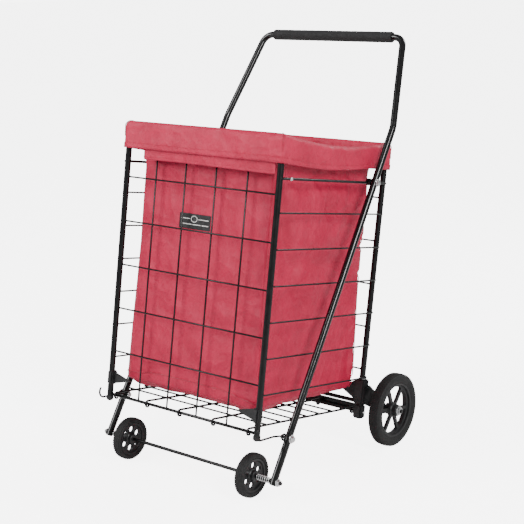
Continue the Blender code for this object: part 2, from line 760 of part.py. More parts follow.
def wheel(prefix, side, sign, x, axle, radius, width, axle_radius, ring_share, spokes, pivot):
    """A moulded rim with openings round its hub, and a rubber tyre on it."""
    plastic = material("black_plastic", BLACK_PLASTIC)
    rubber = material("rubber_tyre", RUBBER)
    seat = radius * ring_share
    middle = sign * x
    half = width / 2
    tyre = [
        (seat + GAP, -half * 0.72),
        (seat + (radius - seat) * 0.55, -half),
        (radius - 0.0035, -half * 0.86),
        (radius, -half * 0.42),
        (radius, half * 0.42),
        (radius - 0.0035, half * 0.86),
        (seat + (radius - seat) * 0.55, half),
        (seat + GAP, half * 0.72),
    ]
    sides = 40 if radius > 0.07 else 30
    finish(lathe(f"{prefix}_tyre_{side}", tyre, middle, axle, sides), rubber, pivot)
    bore, hub, web = axle_radius + GAP, axle_radius + 0.0085, 0.0035
    rim = [
        (bore, -half - 0.0015),
        (hub, -half - 0.0015),
        (hub, -web),
        (seat - 0.006, -web),
        (seat - 0.004, -half * 0.72),
        (seat, -half * 0.72),
        (seat, half * 0.72),
        (seat - 0.004, half * 0.72),
        (seat - 0.006, web),
        (hub, web),
        (hub, half + 0.0015),
        (bore, half + 0.0015),
    ]
    made = lathe(f"{prefix}_rim_{side}", rim, middle, axle, sides)
    between = (hub + seat - 0.006) / 2
    size = min((seat - 0.006 - hub) / 2 - 0.0025, between * sin(pi / spokes) - 0.0025)
    holes = []
    for n in range(spokes):
        angle = 2 * pi * (n + 0.5) / spokes
        at = (axle[0] + between * cos(angle), axle[1] + between * sin(angle))
        start, end = (middle - width, *at), (middle + width, *at)
        holes.append(cylinder(f"{prefix}_opening_{side}_{n}", start, end, size, 10))
    boolean(made, holes, "DIFFERENCE")
    finish(made, plastic, pivot)


def wheels():
    for side, sign in SIDES:
        wheel(
            "front_wheel", side, sign, FRONT_WHEEL_X, FRONT_AXLE, FRONT_WHEEL_R,
            FRONT_WHEEL_WIDTH, FRONT_AXLE_R, 0.76, 6, FRONT_AXLE,
        )
        wheel(
            "rear_wheel", side, sign, REAR_WHEEL_X, REAR_AXLE, REAR_WHEEL_R,
            REAR_WHEEL_WIDTH, REAR_AXLE_R, 0.74, 6, REAR_AXLE,
        )


# ---------------------------------------------------------------- fabric liner


def liner_ring(bm, half_x, front, back, level, corner, steps=3, back_level=None):
    """One rounded rectangle of the liner's skin, front corners first."""
    lift = 0 if back_level is None else back_level - level
    ring = []
    for cx, cv, start in (
        (half_x - corner, back - corner, 0),
        (-half_x + corner, back - corner, 90),
        (-half_x + corner, front + corner, 180),
        (half_x - corner, front + corner, 270),
    ):
        for n in range(steps + 1):
            angle = radians(start + 90 * n / steps)
            v = cv + corner * sin(angle)
            share = (v - front) / (back - front)
            ring.append(bm.verts.new((cx + corner * cos(angle), v, level + lift * share)))
    return ring


def liner():
    """An open bag whose turned-over collar hangs outside the top bars."""
    out = POST_R + LINER_CLEAR
    top_front, top_back = 0.0, rear_line(POST_TOP)
    collar = POST_TOP + POST_R - COLLAR_DROP
    crown = POST_TOP + POST_R + LINER_CLEAR
    bag_back = BASKET_DEPTH - BAG_BACK_INSET
    bm = bmesh.new()
    rings = [
        liner_ring(bm, POST_X + out, top_front - out, top_back + out, collar, out),
        liner_ring(bm, POST_X + out, top_front - out, top_back + out, crown - 0.006, out),
        liner_ring(bm, POST_X + out - 0.005, top_front - out + 0.005, top_back + out - 0.005, crown, out - 0.005),
        liner_ring(bm, POST_X - out + 0.004, top_front + out - 0.004, top_back - out + 0.004, crown, 0.010),
        liner_ring(bm, POST_X - out, top_front + out, top_back - out, crown - 0.006, 0.010),
        liner_ring(bm, POST_X - out - 0.001, top_front + out + 0.001, top_back - out - 0.005, 0.500, 0.012),
        liner_ring(bm, POST_X - BAG_INSET, 0.014, bag_back, 0.440, 0.020),
        liner_ring(bm, POST_X - BAG_INSET, 0.014, bag_back, 0.150, 0.024),
        liner_ring(bm, POST_X - BAG_INSET + 0.008, 0.010, bag_back, BAG_FLOOR[0] + 0.02, 0.026, 3, BAG_FLOOR[1] + 0.02),
        liner_ring(bm, POST_X - BAG_INSET - 0.010, 0.026, bag_back - 0.018, BAG_FLOOR[0], 0.020, 3, BAG_FLOOR[1]),
    ]
    for upper, lower in zip(rings, rings[1:]):
        for n, corner in enumerate(upper):
            after = (n + 1) % len(upper)
            bm.faces.new((corner, upper[after], lower[after], lower[n]))
    bm.faces.new(rings[-1])
    bag = mesh_object("liner_bag", bm)
    skin = bag.modifiers.new("cloth_thickness", "SOLIDIFY")
    skin.thickness = LINER_THICK
    skin.offset = 0
    skin.use_even_offset = True
    finish(bag, material("red_fabric", RED_FABRIC))


# ---------------------------------------------------------------- assembly

rear_panel()
rear_axle()
front_panel()
top_side_rods()
thin_side_wires()
tray()
handle()
latches()
wheels()
liner()
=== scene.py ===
# %% [markdown]
# # A folding basket trolley, finished for its portrait
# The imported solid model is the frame: it fixes every size, pivot and clearance.
# This script lays finer surfaces over it, in the same places, and gives each one
# a material with the detail that the real thing shows.
#
# Shapes are written in the basket's own frame: x to the right, v to the rear and
# w up along the posts. The basket leans back a little, and one matrix, made from
# the frame's joints, carries that frame to the floor's.


# %% Load the frame
import json
from math import acos, cos, degrees, pi, radians, sin, sqrt, tan

import bmesh
import bpy
from mathutils import Matrix, Vector, noise
from mathutils.bvhtree import BVHTree

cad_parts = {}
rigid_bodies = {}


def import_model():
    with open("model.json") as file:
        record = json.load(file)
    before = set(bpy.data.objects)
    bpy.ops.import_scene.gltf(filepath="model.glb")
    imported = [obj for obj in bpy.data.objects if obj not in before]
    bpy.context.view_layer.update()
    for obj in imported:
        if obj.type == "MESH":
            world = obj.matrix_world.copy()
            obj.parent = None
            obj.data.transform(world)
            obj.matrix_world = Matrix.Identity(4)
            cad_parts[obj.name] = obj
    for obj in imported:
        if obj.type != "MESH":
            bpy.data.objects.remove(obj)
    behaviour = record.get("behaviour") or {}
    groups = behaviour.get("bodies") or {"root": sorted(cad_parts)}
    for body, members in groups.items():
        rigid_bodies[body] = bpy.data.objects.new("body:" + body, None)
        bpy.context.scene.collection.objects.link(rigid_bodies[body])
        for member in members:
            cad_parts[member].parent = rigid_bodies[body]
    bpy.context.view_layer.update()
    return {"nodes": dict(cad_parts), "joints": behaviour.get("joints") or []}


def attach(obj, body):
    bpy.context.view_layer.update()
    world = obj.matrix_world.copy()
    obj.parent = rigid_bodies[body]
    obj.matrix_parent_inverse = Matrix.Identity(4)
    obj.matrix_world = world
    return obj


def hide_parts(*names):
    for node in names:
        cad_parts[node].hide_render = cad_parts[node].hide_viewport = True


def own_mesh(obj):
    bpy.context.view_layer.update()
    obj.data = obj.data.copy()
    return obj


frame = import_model()
joints = {joint["name"]: Vector(joint["pos_m"]) for joint in frame["joints"]}
print(len(frame["nodes"]), "nodes and", len(joints), "joints in the frame")


# %% [markdown]
# The top rods pivot in the front and rear posts, and the tray hinges under the
# rear pivot. Those three points give the basket's two directions and its origin.
# Typing the lean in as an angle would work too, but it would go wrong as soon as
# the solid model changed.


# %% The basket's own frame
SIDE_ROD_LEVEL = 0.484
BAR_LEVEL = -0.0596
up = (joints["basket_fold"] - joints["tray_fold"]).normalized()
back = (joints["basket_fold"] - joints["front_panel_fold"]).normalized()
start = joints["front_panel_fold"] - SIDE_ROD_LEVEL * up
BASKET = Matrix(((1, 0, 0, 0), (0, back.y, up.y, start.y), (0, back.z, up.z, start.z), (0, 0, 0, 1)))
DEPTH = (joints["basket_fold"] - joints["front_panel_fold"]).length
print(f"basket {DEPTH:.3f} m deep, leaning {degrees(acos(up.z)):.1f} degrees")


# %% [markdown]
# These sizes repeat the solid model's, so that each fine surface lies on the part
# that it stands for. POST_X is half the basket's width, and a level is a height
# along the posts.


# %% Sizes shared with the solid model
POST_X, POST_R, POST_TOP, POST_FOOT = 0.220, 0.007, 0.568, -0.0645
LEG_X, HANDLE_R = 0.2475, 0.008
WIRE_R, ROD_R, BAR_R, TRAY_R = 0.002, 0.003, 0.0035, 0.0025
SIDE_WIRES = [0.412 - 0.0774 * n for n in range(6)]
GRID_ROWS = [0.4495 - 0.1016 * n for n in range(5)]
UPRIGHTS = [-POST_X + 2 * POST_X * n / 5 for n in range(1, 5)]
UPPER_PIVOT, LOWER_PIVOT = (0.319, 0.486), (0.077, -0.074)
FRONT_AXLE, REAR_AXLE = (0.0412, -0.1647), (0.469, -0.0539)
GRIP = (0.449, 0.826)
SIDES = (("left", -1), ("right", 1))


def rear_line(level):
    """Where the raked rear posts stand at a level."""
    return DEPTH + 0.0115 * (level - 0.255)
print(f"posts {2 * POST_X:.2f} m apart, {len(SIDE_WIRES)} side wires a side, {len(GRID_ROWS)} rows in a grid")


# %% [markdown]
# ## Materials
# The trolley has few finishes: black paint in two grades, zinc, moulded plastic,
# rubber, foam and woven cloth. A flat colour would make them all look alike, so
# each is a small shader graph. Noise at a few scales moves the colour and the
# roughness, and a bump gives the skin its grain. These helpers keep a graph down
# to the few lines that say what is special about it.


# %% Shader helpers
def node(tree, kind, inputs=(), **settings):
    """Adds a shader node. Each input is a value, or an output socket to link."""
    made = tree.nodes.new(kind)
    for name, value in settings.items():
        setattr(made, name, value)
    for key, value in dict(inputs).items():
        if isinstance(value, bpy.types.NodeSocket):
            tree.links.new(value, made.inputs[key])
        else:
            made.inputs[key].default_value = value
    return made


def material(name):
    """A new material, with its tree, its skin shader and its coordinates."""
    made = bpy.data.materials.new(name)
    made.use_nodes = True
    tree = made.node_tree
    skin = tree.nodes["Principled BSDF"]
    return made, tree, skin, node(tree, "ShaderNodeTexCoord")


def noise_at(tree, vector, scale, detail=3.0, rough=0.55):
    inputs = {"Vector": vector, "Scale": scale, "Detail": detail, "Roughness": rough}
    return node(tree, "ShaderNodeTexNoise", inputs).outputs["Fac"]


def span(tree, value, low, high, start=0.3, end=0.7):
    """Maps a noise value to a range."""
    inputs = {"Value": value, "From Min": start, "From Max": end, "To Min": low, "To Max": high}
    return node(tree, "ShaderNodeMapRange", inputs).outputs["Result"]


def tint(tree, share, first, second):
    """A colour between two, by share."""
    made = node(tree, "ShaderNodeMix", {"Factor": share}, data_type="RGBA")
    made.inputs[6].default_value = (*first, 1)
    made.inputs[7].default_value = (*second, 1)
    return made.outputs[2]


def bump(tree, skin, height, distance, strength=1.0, under=None):
    """Adds relief to the skin, over the relief under it."""
    inputs = {"Height": height, "Distance": distance, "Strength": strength}
    if under is not None:
        inputs["Normal"] = under
    made = node(tree, "ShaderNodeBump", inputs)
    tree.links.new(made.outputs["Normal"], skin.inputs["Normal"])
    return made.outputs["Normal"]


def link(tree, skin, **sockets):
    """Links each output to the skin's socket of that name."""
    for name, value in sockets.items():
        tree.links.new(value, skin.inputs[name.replace("_", " ")])


def drifting(name, tone_and_crease_shade, colours, wear, roughness, low=0.3, high=0.7):
    """A material whose colour and roughness each drift with a noise of their own."""
    made, tree, skin, where = material(name)
    spot = where.outputs["Object"]
    share = span(tree, noise_at(tree, spot, *tone_and_crease_shade), 0, 1, low, high)
    rough = span(tree, noise_at(tree, spot, *wear), *roughness)
    link(tree, skin, Base_Color=tint(tree, share, *colours), Roughness=rough)
    return made, tree, skin, spot


print("shader helpers ready")


# %% [markdown]
# The steel is painted black: the handle in a gloss enamel, the frames and wires in
# a duller powder coat. One function makes both, because only the roughness and the
# clear coat differ. The grain stays very shallow, so that a thin wire still
# carries one clean highlight.


# %% Painted steel
def painted(name, rough, coat):
    """Black paint, with its least roughness and its share of clear coat."""
    colours = ((0.0016, 0.0016, 0.0019), (0.0045, 0.0045, 0.0050))
    made, tree, skin, spot = drifting(name, (38,), colours, (85, 4), (rough, rough + 0.14))
    skin.inputs["Coat Weight"].default_value = coat
    skin.inputs["Coat Roughness"].default_value = 0.12
    skin.inputs["Specular IOR Level"].default_value = 0.30
    speckle = bump(tree, skin, noise_at(tree, spot, 900, 2), 0.00012, 0.35)
    bump(tree, skin, noise_at(tree, spot, 160, 3), 0.0003, 0.2, speckle)
    return made


gloss_paint = painted("gloss_black_enamel", 0.16, 0.35)
satin_paint = painted("satin_black_powder_coat", 0.26, 0.05)
print(gloss_paint.name, "and", satin_paint.name)


# %% [markdown]
# Bolts, nuts and springs are zinc plated: a bare metal whose brightness is uneven.
# The corner fittings and the wheels' discs are moulded plastic, and the tyres are
# a dull rubber that dust turns grey in patches.


# %% Zinc plate, plastic and rubber
colours = ((0.52, 0.53, 0.55), (0.78, 0.78, 0.77))
zinc, tree, skin, spot = drifting("zinc_plate", (140, 5), colours, (260, 4), (0.22, 0.42))
skin.inputs["Metallic"].default_value = 1.0
bump(tree, skin, noise_at(tree, spot, 1400, 2), 0.0001, 0.3)

colours = ((0.0050, 0.0050, 0.0056), (0.012, 0.012, 0.013))
plastic, tree, skin, spot = drifting("moulded_black_plastic", (45, 4), colours, (120, 4), (0.36, 0.56))
bump(tree, skin, noise_at(tree, spot, 1700, 2), 0.00015, 0.5)

colours = ((0.0052, 0.0052, 0.0055), (0.014, 0.0135, 0.013))
rubber, tree, skin, spot = drifting("tyre_rubber", (26, 6, 0.65), colours, (300, 3), (0.62, 0.86), 0.45, 0.75)
bump(tree, skin, noise_at(tree, spot, 1200, 3), 0.00025, 0.6)
print(zinc.name, plastic.name, rubber.name)


# %% [markdown]
# The grip is a sleeve of closed-cell foam. Its cells are far too many to model, so
# a Voronoi pattern pits the surface, and a wider noise makes it a little lumpy.


# %% Foam
colours = ((0.0055, 0.0055, 0.0060), (0.012, 0.012, 0.013))
foam, tree, skin, spot = drifting("grip_foam", (60, 4), colours, (220, 3), (0.68, 0.9))
skin.inputs["Sheen Weight"].default_value = 0.04
cells = node(tree, "ShaderNodeTexVoronoi", {"Vector": spot, "Scale": 820.0}).outputs["Distance"]
pitted = bump(tree, skin, cells, 0.0004, 0.7)
bump(tree, skin, noise_at(tree, spot, 90, 3), 0.0012, 0.3, pitted)
print(foam.name)


# %% [markdown]
# The liner is a coated plain weave. Its threads follow the cloth's own map, in
# metres, so that they bend with every fold. The crumples that hands have left are
# too fine for the sheet's mesh. They are a bump: facets from a Voronoi pattern,
# bent by noise so that no edge runs straight. The colour holds painted shade: it
# follows the same slow noise as the creases' bump, so the hollows of those creases
# are painted darker. Slubs in the threads add a little real unevenness of tone.


# %% Woven cloth
def woven(name, deep, light, pitch):
    """Cloth of two threads, its colour running from light on the creases' ridges to deep, painted shade, in
    their hollows.
    """
    made, tree, skin, where = material(name)
    cloth, spot = where.outputs["UV"], where.outputs["Object"]
    threads = []
    for along in ("X", "Y"):
        inputs = {"Vector": cloth, "Scale": 1 / (pi * pitch), "Distortion": 0.25, "Detail": 1.0}
        inputs["Detail Scale"] = 3.0
        threads.append(node(tree, "ShaderNodeTexWave", inputs, bands_direction=along).outputs["Fac"])
    weave = node(tree, "ShaderNodeMath", {0: threads[0], 1: threads[1]}, operation="MULTIPLY").outputs[0]
    # Painted shade: this noise is the slow crease bump's own, so the hollows of those creases get the deep
    # colour.
    tone_and_crease_shade = span(tree, noise_at(tree, spot, 16, 5, 0.6), 0, 1)
    slub = span(tree, noise_at(tree, cloth, 420, 2), 0, 0.35)
    mixed = node(tree, "ShaderNodeMath", {0: tone_and_crease_shade, 1: slub}, operation="ADD").outputs[0]
    link(
        tree, skin,
        Base_Color=tint(tree, mixed, deep, light),
        Roughness=span(tree, noise_at(tree, spot, 55, 3), 0.46, 0.58),
    )
    skin.inputs["Sheen Weight"].default_value = 0.03
    skin.inputs["Sheen Roughness"].default_value = 0.35
    skin.inputs["Sheen Tint"].default_value = (*[min(1, 1.6 * part + 0.25) for part in light], 1)
    skin.inputs["Specular IOR Level"].default_value = 0.5
    fine = bump(tree, skin, weave, 0.00028, 0.55)
    drift = node(tree, "ShaderNodeTexNoise", {"Vector": spot, "Scale": 5.0, "Detail": 3.0}).outputs["Color"]
    bent = node(tree, "ShaderNodeMix", {"Factor": 0.12}, data_type="VECTOR")
    tree.links.new(spot, bent.inputs[4])
    tree.links.new(drift, bent.inputs[5])
    facets = node(tree, "ShaderNodeTexVoronoi", {"Vector": bent.outputs[1], "Scale": 17.0, "Detail": 1.5})
    crumpled = bump(tree, skin, facets.outputs["Distance"], 0.013, 0.5, fine)
    creased = bump(tree, skin, noise_at(tree, spot, 16, 3, 0.5), 0.0100, 0.6, crumpled)
    bump(tree, skin, noise_at(tree, spot, 110, 4, 0.6), 0.0012, 0.4, creased)
    return made


# The first colour of each cloth is the painted shade in the creases' hollows, the second the colour on their
# ridges.
red_cloth = woven("red_woven_cloth", (0.41, 0.003, 0.036), (0.55, 0.007, 0.055), 0.00085)
seam_cloth = woven("red_seam_binding", (0.34, 0.008, 0.034), (0.44, 0.015, 0.050), 0.0006)
red_thread = woven("red_sewing_thread", (0.36, 0.010, 0.036), (0.48, 0.022, 0.060), 0.0003)
patch_cloth = woven("black_patch", (0.005, 0.005, 0.006), (0.012, 0.012, 0.013), 0.0007)
patch_print = woven("pale_patch_print", (0.62, 0.60, 0.58), (0.80, 0.79, 0.77), 0.0007)
print(len(bpy.data.materials), "materials")


# %% [markdown]
# ## Shape helpers
# Every builder returns a mesh in the basket's frame. The function called piece
# carries that mesh to the floor's frame and leaves the object itself unturned, so
# that a pattern in the material stays put. Then it gives the piece its finish and
# ties it to the body that it moves with.


# %% Turning a mesh into a finished piece
def mesh_of(name, bm, sharp=38):
    """The bmesh as a smooth mesh, with edges sharper than the angle kept."""
    bm.normal_update()
    bmesh.ops.recalc_face_normals(bm, faces=bm.faces)
    made = bpy.data.meshes.new(name)
    bm.to_mesh(made)
    bm.free()
    made.shade_smooth()
    made.set_sharp_from_angle(angle=radians(sharp))
    return made


def piece(name, mesh, body, finish, slot, *nodes):
    """The mesh as a piece that rides a body and stands for some of its nodes."""
    mesh.transform(BASKET)
    mesh.materials.clear()
    mesh.materials.append(finish)
    made = bpy.data.objects.new(name, mesh)
    bpy.context.scene.collection.objects.link(made)
    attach(made, body)
    if nodes:
        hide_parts(*nodes)
    return made


def joined(name, meshes, sharp=38):
    """Several meshes as one."""
    bm = bmesh.new()
    for mesh in meshes:
        bm.from_mesh(mesh)
        bpy.data.meshes.remove(mesh)
    return mesh_of(name, bm, sharp)


def finished(made):
    """The object's evaluated mesh. The object itself is removed."""
    bpy.context.view_layer.update()
    mesh = bpy.data.meshes.new_from_object(made.evaluated_get(bpy.context.evaluated_depsgraph_get()))
    bpy.data.objects.remove(made)
    return mesh


print("piece helpers ready")


# %% [markdown]
# Most of the trolley is bent wire and tube. A curve object with a round bevel would
# do, but it twists at sharp bends. Here a ring of points is carried along the path
# and only ever turned as far as the path turns, and the ends are slightly domed.


# %% Tubes
def rounded(points, radii, steps=8):
    """The path through the points, with each inner corner replaced by an arc."""
    path = [Vector(points[0])]
    for before, corner, after, radius in zip(points, points[1:], points[2:], radii):
        before, corner, after = Vector(before), Vector(corner), Vector(after)
        into, out = (before - corner).normalized(), (after - corner).normalized()
        half = into.angle(out) / 2
        centre = corner + (into + out).normalized() * radius / sin(half)
        first, last = corner + into * radius / tan(half), corner + out * radius / tan(half)
        normal = (first - centre).cross(last - centre).normalized()
        sweep = (first - centre).angle(last - centre)
        turns = [Matrix.Rotation(sweep * n / steps, 3, normal) for n in range(steps + 1)]
        path += [centre + turn @ (first - centre) for turn in turns]
    return path + [Vector(points[-1])]


def arc(centre, radius, first, sweep, steps, x):
    """Points of an arc in the plane across x."""
    turns = [radians(first + sweep * n / steps) for n in range(steps + 1)]
    return [Vector((x, centre[0] + radius * cos(turn), centre[1] + radius * sin(turn))) for turn in turns]


def tube(name, points, radius, sides=14, dome=0.35):
    """A round bar along a path, its ends slightly domed."""
    points = [Vector(point) for point in points]
    ways = [(after - before).normalized() for before, after in zip(points, points[1:])]
    heads = [ways[0]] + [(a + b).normalized() for a, b in zip(ways, ways[1:])] + [ways[-1]]
    across = heads[0].orthogonal().normalized()
    stations = [(points[0] - heads[0] * radius * dome, 0.55), *[(point, 1.0) for point in points]]
    stations.append((points[-1] + heads[-1] * radius * dome, 0.55))
    heads = [heads[0], *heads, heads[-1]]
    bm = bmesh.new()
    rings = []
    for (point, size), head in zip(stations, heads):
        across = (across - head * across.dot(head)).normalized()
        other = head.cross(across)
        turns = [2 * pi * n / sides for n in range(sides)]
        rings.append([bm.verts.new(point + size * radius * (across * cos(t) + other * sin(t))) for t in turns])
    for first, second in zip(rings, rings[1:]):
        for n in range(sides):
            after = (n + 1) % sides
            bm.faces.new((first[n], first[after], second[after], second[n]))
    bm.faces.new(reversed(rings[0]))
    bm.faces.new(rings[-1])
    return mesh_of(name, bm, 50)


print("tube helpers ready")


# %% [markdown]
# Wheels, washers and rivets are turned: one profile goes round an axle. Nuts and
# bolt heads are plates cut to an outline, with every hard edge bevelled, because
# real edges are never quite sharp and that thin line of light shows it.


# %% Turned rings and plates
def lathe(name, profile, x, axle, sides=64, sharp=38):
    """A turned ring about an axle along x, from a closed loop of (radius, offset)."""
    bm = bmesh.new()
    rings = []
    for n in range(sides):
        turn = 2 * pi * n / sides
        across, upward = cos(turn), sin(turn)
        rings.append([bm.verts.new((x + t, axle[0] + r * across, axle[1] + r * upward)) for r, t in profile])
    for n, ring in enumerate(rings):
        after = rings[(n + 1) % sides]
        for k in range(len(profile)):
            m = (k + 1) % len(profile)
            bm.faces.new((ring[k], after[k], after[m], ring[m]))
    return mesh_of(name, bm, sharp)


def prism(name, outline, low, high, soft=0.0008):
    """A plate across x from an outline, between two depths, with its edges softened."""
    bm = bmesh.new()
    rings = [[bm.verts.new((depth, a, b)) for a, b in outline] for depth in (low, high)]
    bm.faces.new(rings[0])
    bm.faces.new(rings[1])
    for n in range(len(outline)):
        after = (n + 1) % len(outline)
        bm.faces.new((rings[0][n], rings[0][after], rings[1][after], rings[1][n]))
    bm.normal_update()
    bmesh.ops.recalc_face_normals(bm, faces=bm.faces)
    if soft:
        hard = [edge for edge in bm.edges if edge.calc_face_angle(0) > radians(25)]
        bmesh.ops.bevel(bm, geom=hard, offset=soft, segments=3, affect="EDGES", profile=0.5)
    return mesh_of(name, bm, 30)


print("ring and plate helpers ready")


# %% [markdown]
# The wheels' discs have openings. One exact Boolean takes out all the cutters at
# once, and a small bevel eases the new edges as a mould would.


# %% Cutting holes
def cut(mesh, cutters):
    """The mesh with the cutters taken out of it."""
    target = bpy.data.objects.new("target", mesh)
    bpy.context.scene.collection.objects.link(target)
    group = bpy.data.collections.new("cutters")
    for n, cutter in enumerate(cutters):
        group.objects.link(bpy.data.objects.new(f"cutter_{n}", cutter))
    bpy.context.scene.collection.children.link(group)
    change = target.modifiers.new("cut", "BOOLEAN")
    change.operation, change.solver, change.operand_type = "DIFFERENCE", "EXACT", "COLLECTION"
    change.collection = group
    soften = target.modifiers.new("soften", "BEVEL")
    soften.width, soften.segments, soften.limit_method, soften.angle_limit = 0.0005, 2, "ANGLE", radians(40)
    found = finished(target)
    for other in list(group.objects):
        bpy.data.objects.remove(other)
    bpy.data.collections.remove(group)
    return found


print("cutting helper ready")


# %% [markdown]
# Welds, tread blocks and stitches all repeat one small shape. One Geometry Nodes
# group makes them all: it puts a copy on each point, turned as the point says. The
# points come from loops, the shape and the finish are the group's inputs, and the
# copies are made real at the end, because instances are lost on export.


# %% Copies on points
copies = bpy.data.node_groups.new("copies_on_points", "GeometryNodeTree")
copies.interface.new_socket("Geometry", in_out="INPUT", socket_type="NodeSocketGeometry")
shape_in = copies.interface.new_socket("Shape", in_out="INPUT", socket_type="NodeSocketObject").identifier
finish_in = copies.interface.new_socket("Finish", in_out="INPUT", socket_type="NodeSocketMaterial").identifier
copies.interface.new_socket("Geometry", in_out="OUTPUT", socket_type="NodeSocketGeometry")
given = node(copies, "NodeGroupInput")
shape = node(copies, "GeometryNodeObjectInfo", {"Object": given.outputs["Shape"]})
turned = node(copies, "GeometryNodeInputNamedAttribute", {"Name": "turn"}, data_type="FLOAT_VECTOR")
placed = node(
    copies, "GeometryNodeInstanceOnPoints",
    {"Points": given.outputs[0], "Instance": shape.outputs["Geometry"], "Rotation": turned.outputs[0]},
)
real = node(copies, "GeometryNodeRealizeInstances", {"Geometry": placed.outputs[0]})
coated = node(
    copies, "GeometryNodeSetMaterial", {"Geometry": real.outputs[0], "Material": given.outputs["Finish"]},
)
node(copies, "NodeGroupOutput", {0: coated.outputs[0]})


def copied(name, shape_mesh, places, finish):
    """A mesh of one copy of the shape at each (point, rotation matrix)."""
    points = bpy.data.meshes.new(name)
    points.from_pydata([spot for spot, _ in places], [], [])
    turns = points.attributes.new("turn", "FLOAT_VECTOR", "POINT")
    turns.data.foreach_set("vector", [part for _, turn in places for part in turn.to_euler()])
    pattern = bpy.data.objects.new("pattern", shape_mesh)
    holder = bpy.data.objects.new(name, points)
    bpy.context.scene.collection.objects.link(holder)
    change = holder.modifiers.new("copies", "NODES")
    change.node_group = copies
    change[shape_in], change[finish_in] = pattern, finish
    made = finished(holder)
    bpy.data.objects.remove(pattern)
    return made


def ball(size, stretch=(1, 1, 1), rounds=2):
    """A small bead, stretched along its axes."""
    bm = bmesh.new()
    bmesh.ops.create_icosphere(bm, subdivisions=rounds, radius=size)
    bmesh.ops.scale(bm, verts=bm.verts, vec=stretch)
    return mesh_of("bead", bm, 80)


LEVEL = Matrix.Identity(3)
print("node group", copies.name, "ready")


# %% [markdown]
# ## Frames and wires
# Two frames, each one tube bent to an inverted U, stand at the front and the rear.
# Four corner points and a bend radius give the path. The rear posts are raked a
# little, so their path comes from rear_line.


# %% Front and rear frames
BEND = 0.030
for name, line, body in (("front", lambda level: 0.0, "front_panel"), ("rear", rear_line, "root")):
    corners = ((-POST_X, POST_FOOT), (-POST_X, POST_TOP), (POST_X, POST_TOP), (POST_X, POST_FOOT))
    path = rounded([(x, line(level), level) for x, level in corners], (BEND, BEND), 12)
    bent = tube(f"{name}_frame", path, POST_R, 24)
    piece(f"{name}_frame_bar", bent, body, satin_paint, "black_paint", f"{name}_frame_tube")
    print(f"{name} frame, {len(path)} stations along its tube")


# %% [markdown]
# Level wires run between the posts and the uprights are welded behind them. In a
# spot weld the wires sink into each other a little and a small bead of metal rises
# round them, so the wires overlap and each crossing gets its own bead.


# %% Wire grids
GRID_REACH = POST_X - POST_R
WELD_SINK = 0.0005
UPRIGHT_TOP = 0.5025
SHORT_WIRE_HALF, SHORT_WIRE_LEVEL = 0.138, 0.4965


def level_wire(line, level, half, radius):
    return tube("row", [(-half, line(level), level), (half, line(level), level)], radius)


def grid(name, line, foot, top, extra=()):
    """A grid between two levels, with any extra level wires given as meshes."""
    wires = [level_wire(line, level, GRID_REACH, WIRE_R) for level in GRID_ROWS] + list(extra)
    behind = 2 * WIRE_R - WELD_SINK
    for x in UPRIGHTS:
        wires.append(tube("upright", [(x, line(level) + behind, level) for level in (top, foot)], WIRE_R))
    beads = []
    for level in GRID_ROWS:
        beads += [(Vector((x, line(level) + behind / 2, level)), LEVEL) for x in UPRIGHTS]
        beads += [(Vector((sign * (GRID_REACH - 0.0008), line(level), level)), LEVEL) for _, sign in SIDES]
    wires.append(copied("welds", ball(0.0026, (1, 0.9, 1)), beads, satin_paint))
    print(f"{name}: {len(wires) - 1} wires and {len(beads)} welds")
    return joined(name, wires, 60)


def upright_line(_):
    """The front posts stand at v = 0 at every level."""
    return 0.0


front_extra = [
    level_wire(upright_line, BAR_LEVEL, GRID_REACH, BAR_R),
    level_wire(upright_line, SHORT_WIRE_LEVEL, SHORT_WIRE_HALF, WIRE_R),
]
made = grid("front_wires", upright_line, BAR_LEVEL, UPRIGHT_TOP, front_extra)
piece("front_wires", made, "front_panel", satin_paint, "black_paint", "front_grid")
made = grid("rear_wires", rear_line, GRID_ROWS[-1] - 0.006, GRID_ROWS[0] + 0.006)
piece("rear_wires", made, "root", satin_paint, "black_paint", "rear_grid")


# %% [markdown]
# Six wires and one thicker rod join the frames on each side. They turn in at both
# ends and pivot in the posts, which is what lets the basket fold. A small pressed
# collar sits on the post round each pivot.


# %% Side wires
def side_wire(sign, level, radius):
    """A wire along one side, turned in at both ends."""
    outer, inner = sign * (POST_X + POST_R + 0.0005 + radius), sign * (POST_X - POST_R / 2)
    points = [(inner, 0, level), (outer, 0, level), (outer, DEPTH, level), (inner, DEPTH, level)]
    return tube("side", rounded(points, (radius * 1.5, radius * 1.5), 6), radius, 16)


def turned_out(name, sign, profile, x, at, sides, sharp=38):
    """A turned ring whose profile grows away from the basket on either side."""
    return lathe(name, [(r, sign * along) for r, along in profile], x, at, sides, sharp)


def post_collars(v, body, name):
    profile = [(0.0021, 0), (0.0038, 0), (0.0041, 0.0003), (0.0030, 0.00075), (0.0021, 0.0008)]
    face = POST_X + sqrt(POST_R**2 - 0.0035**2) - 0.0006
    rings = []
    for _, sign in SIDES:
        rings += [turned_out("collar", sign, profile, sign * face, (v, level), 20) for level in SIDE_WIRES]
    piece(name, joined(name, rings), body, satin_paint, "black_paint")


for side, sign in SIDES:
    for n, level in enumerate(SIDE_WIRES, 1):
        made = side_wire(sign, level, WIRE_R)
        piece(f"wire_{n}_{side}", made, f"side_wires_{n}", satin_paint, "black_paint", f"side_wire_{n}_{side}")
post_collars(0.0, "front_panel", "front_post_collars")
post_collars(DEPTH, "root", "rear_post_collars")
print(2 * len(SIDE_WIRES), "side wires, each with a collar at both ends")


# %% [markdown]
# The same few fasteners come back at every pivot. A nut or a bolt's head is a
# softened hexagonal plate, and a washer is a turned ring. Writing them once keeps
# each bolt below down to a short list of its parts.


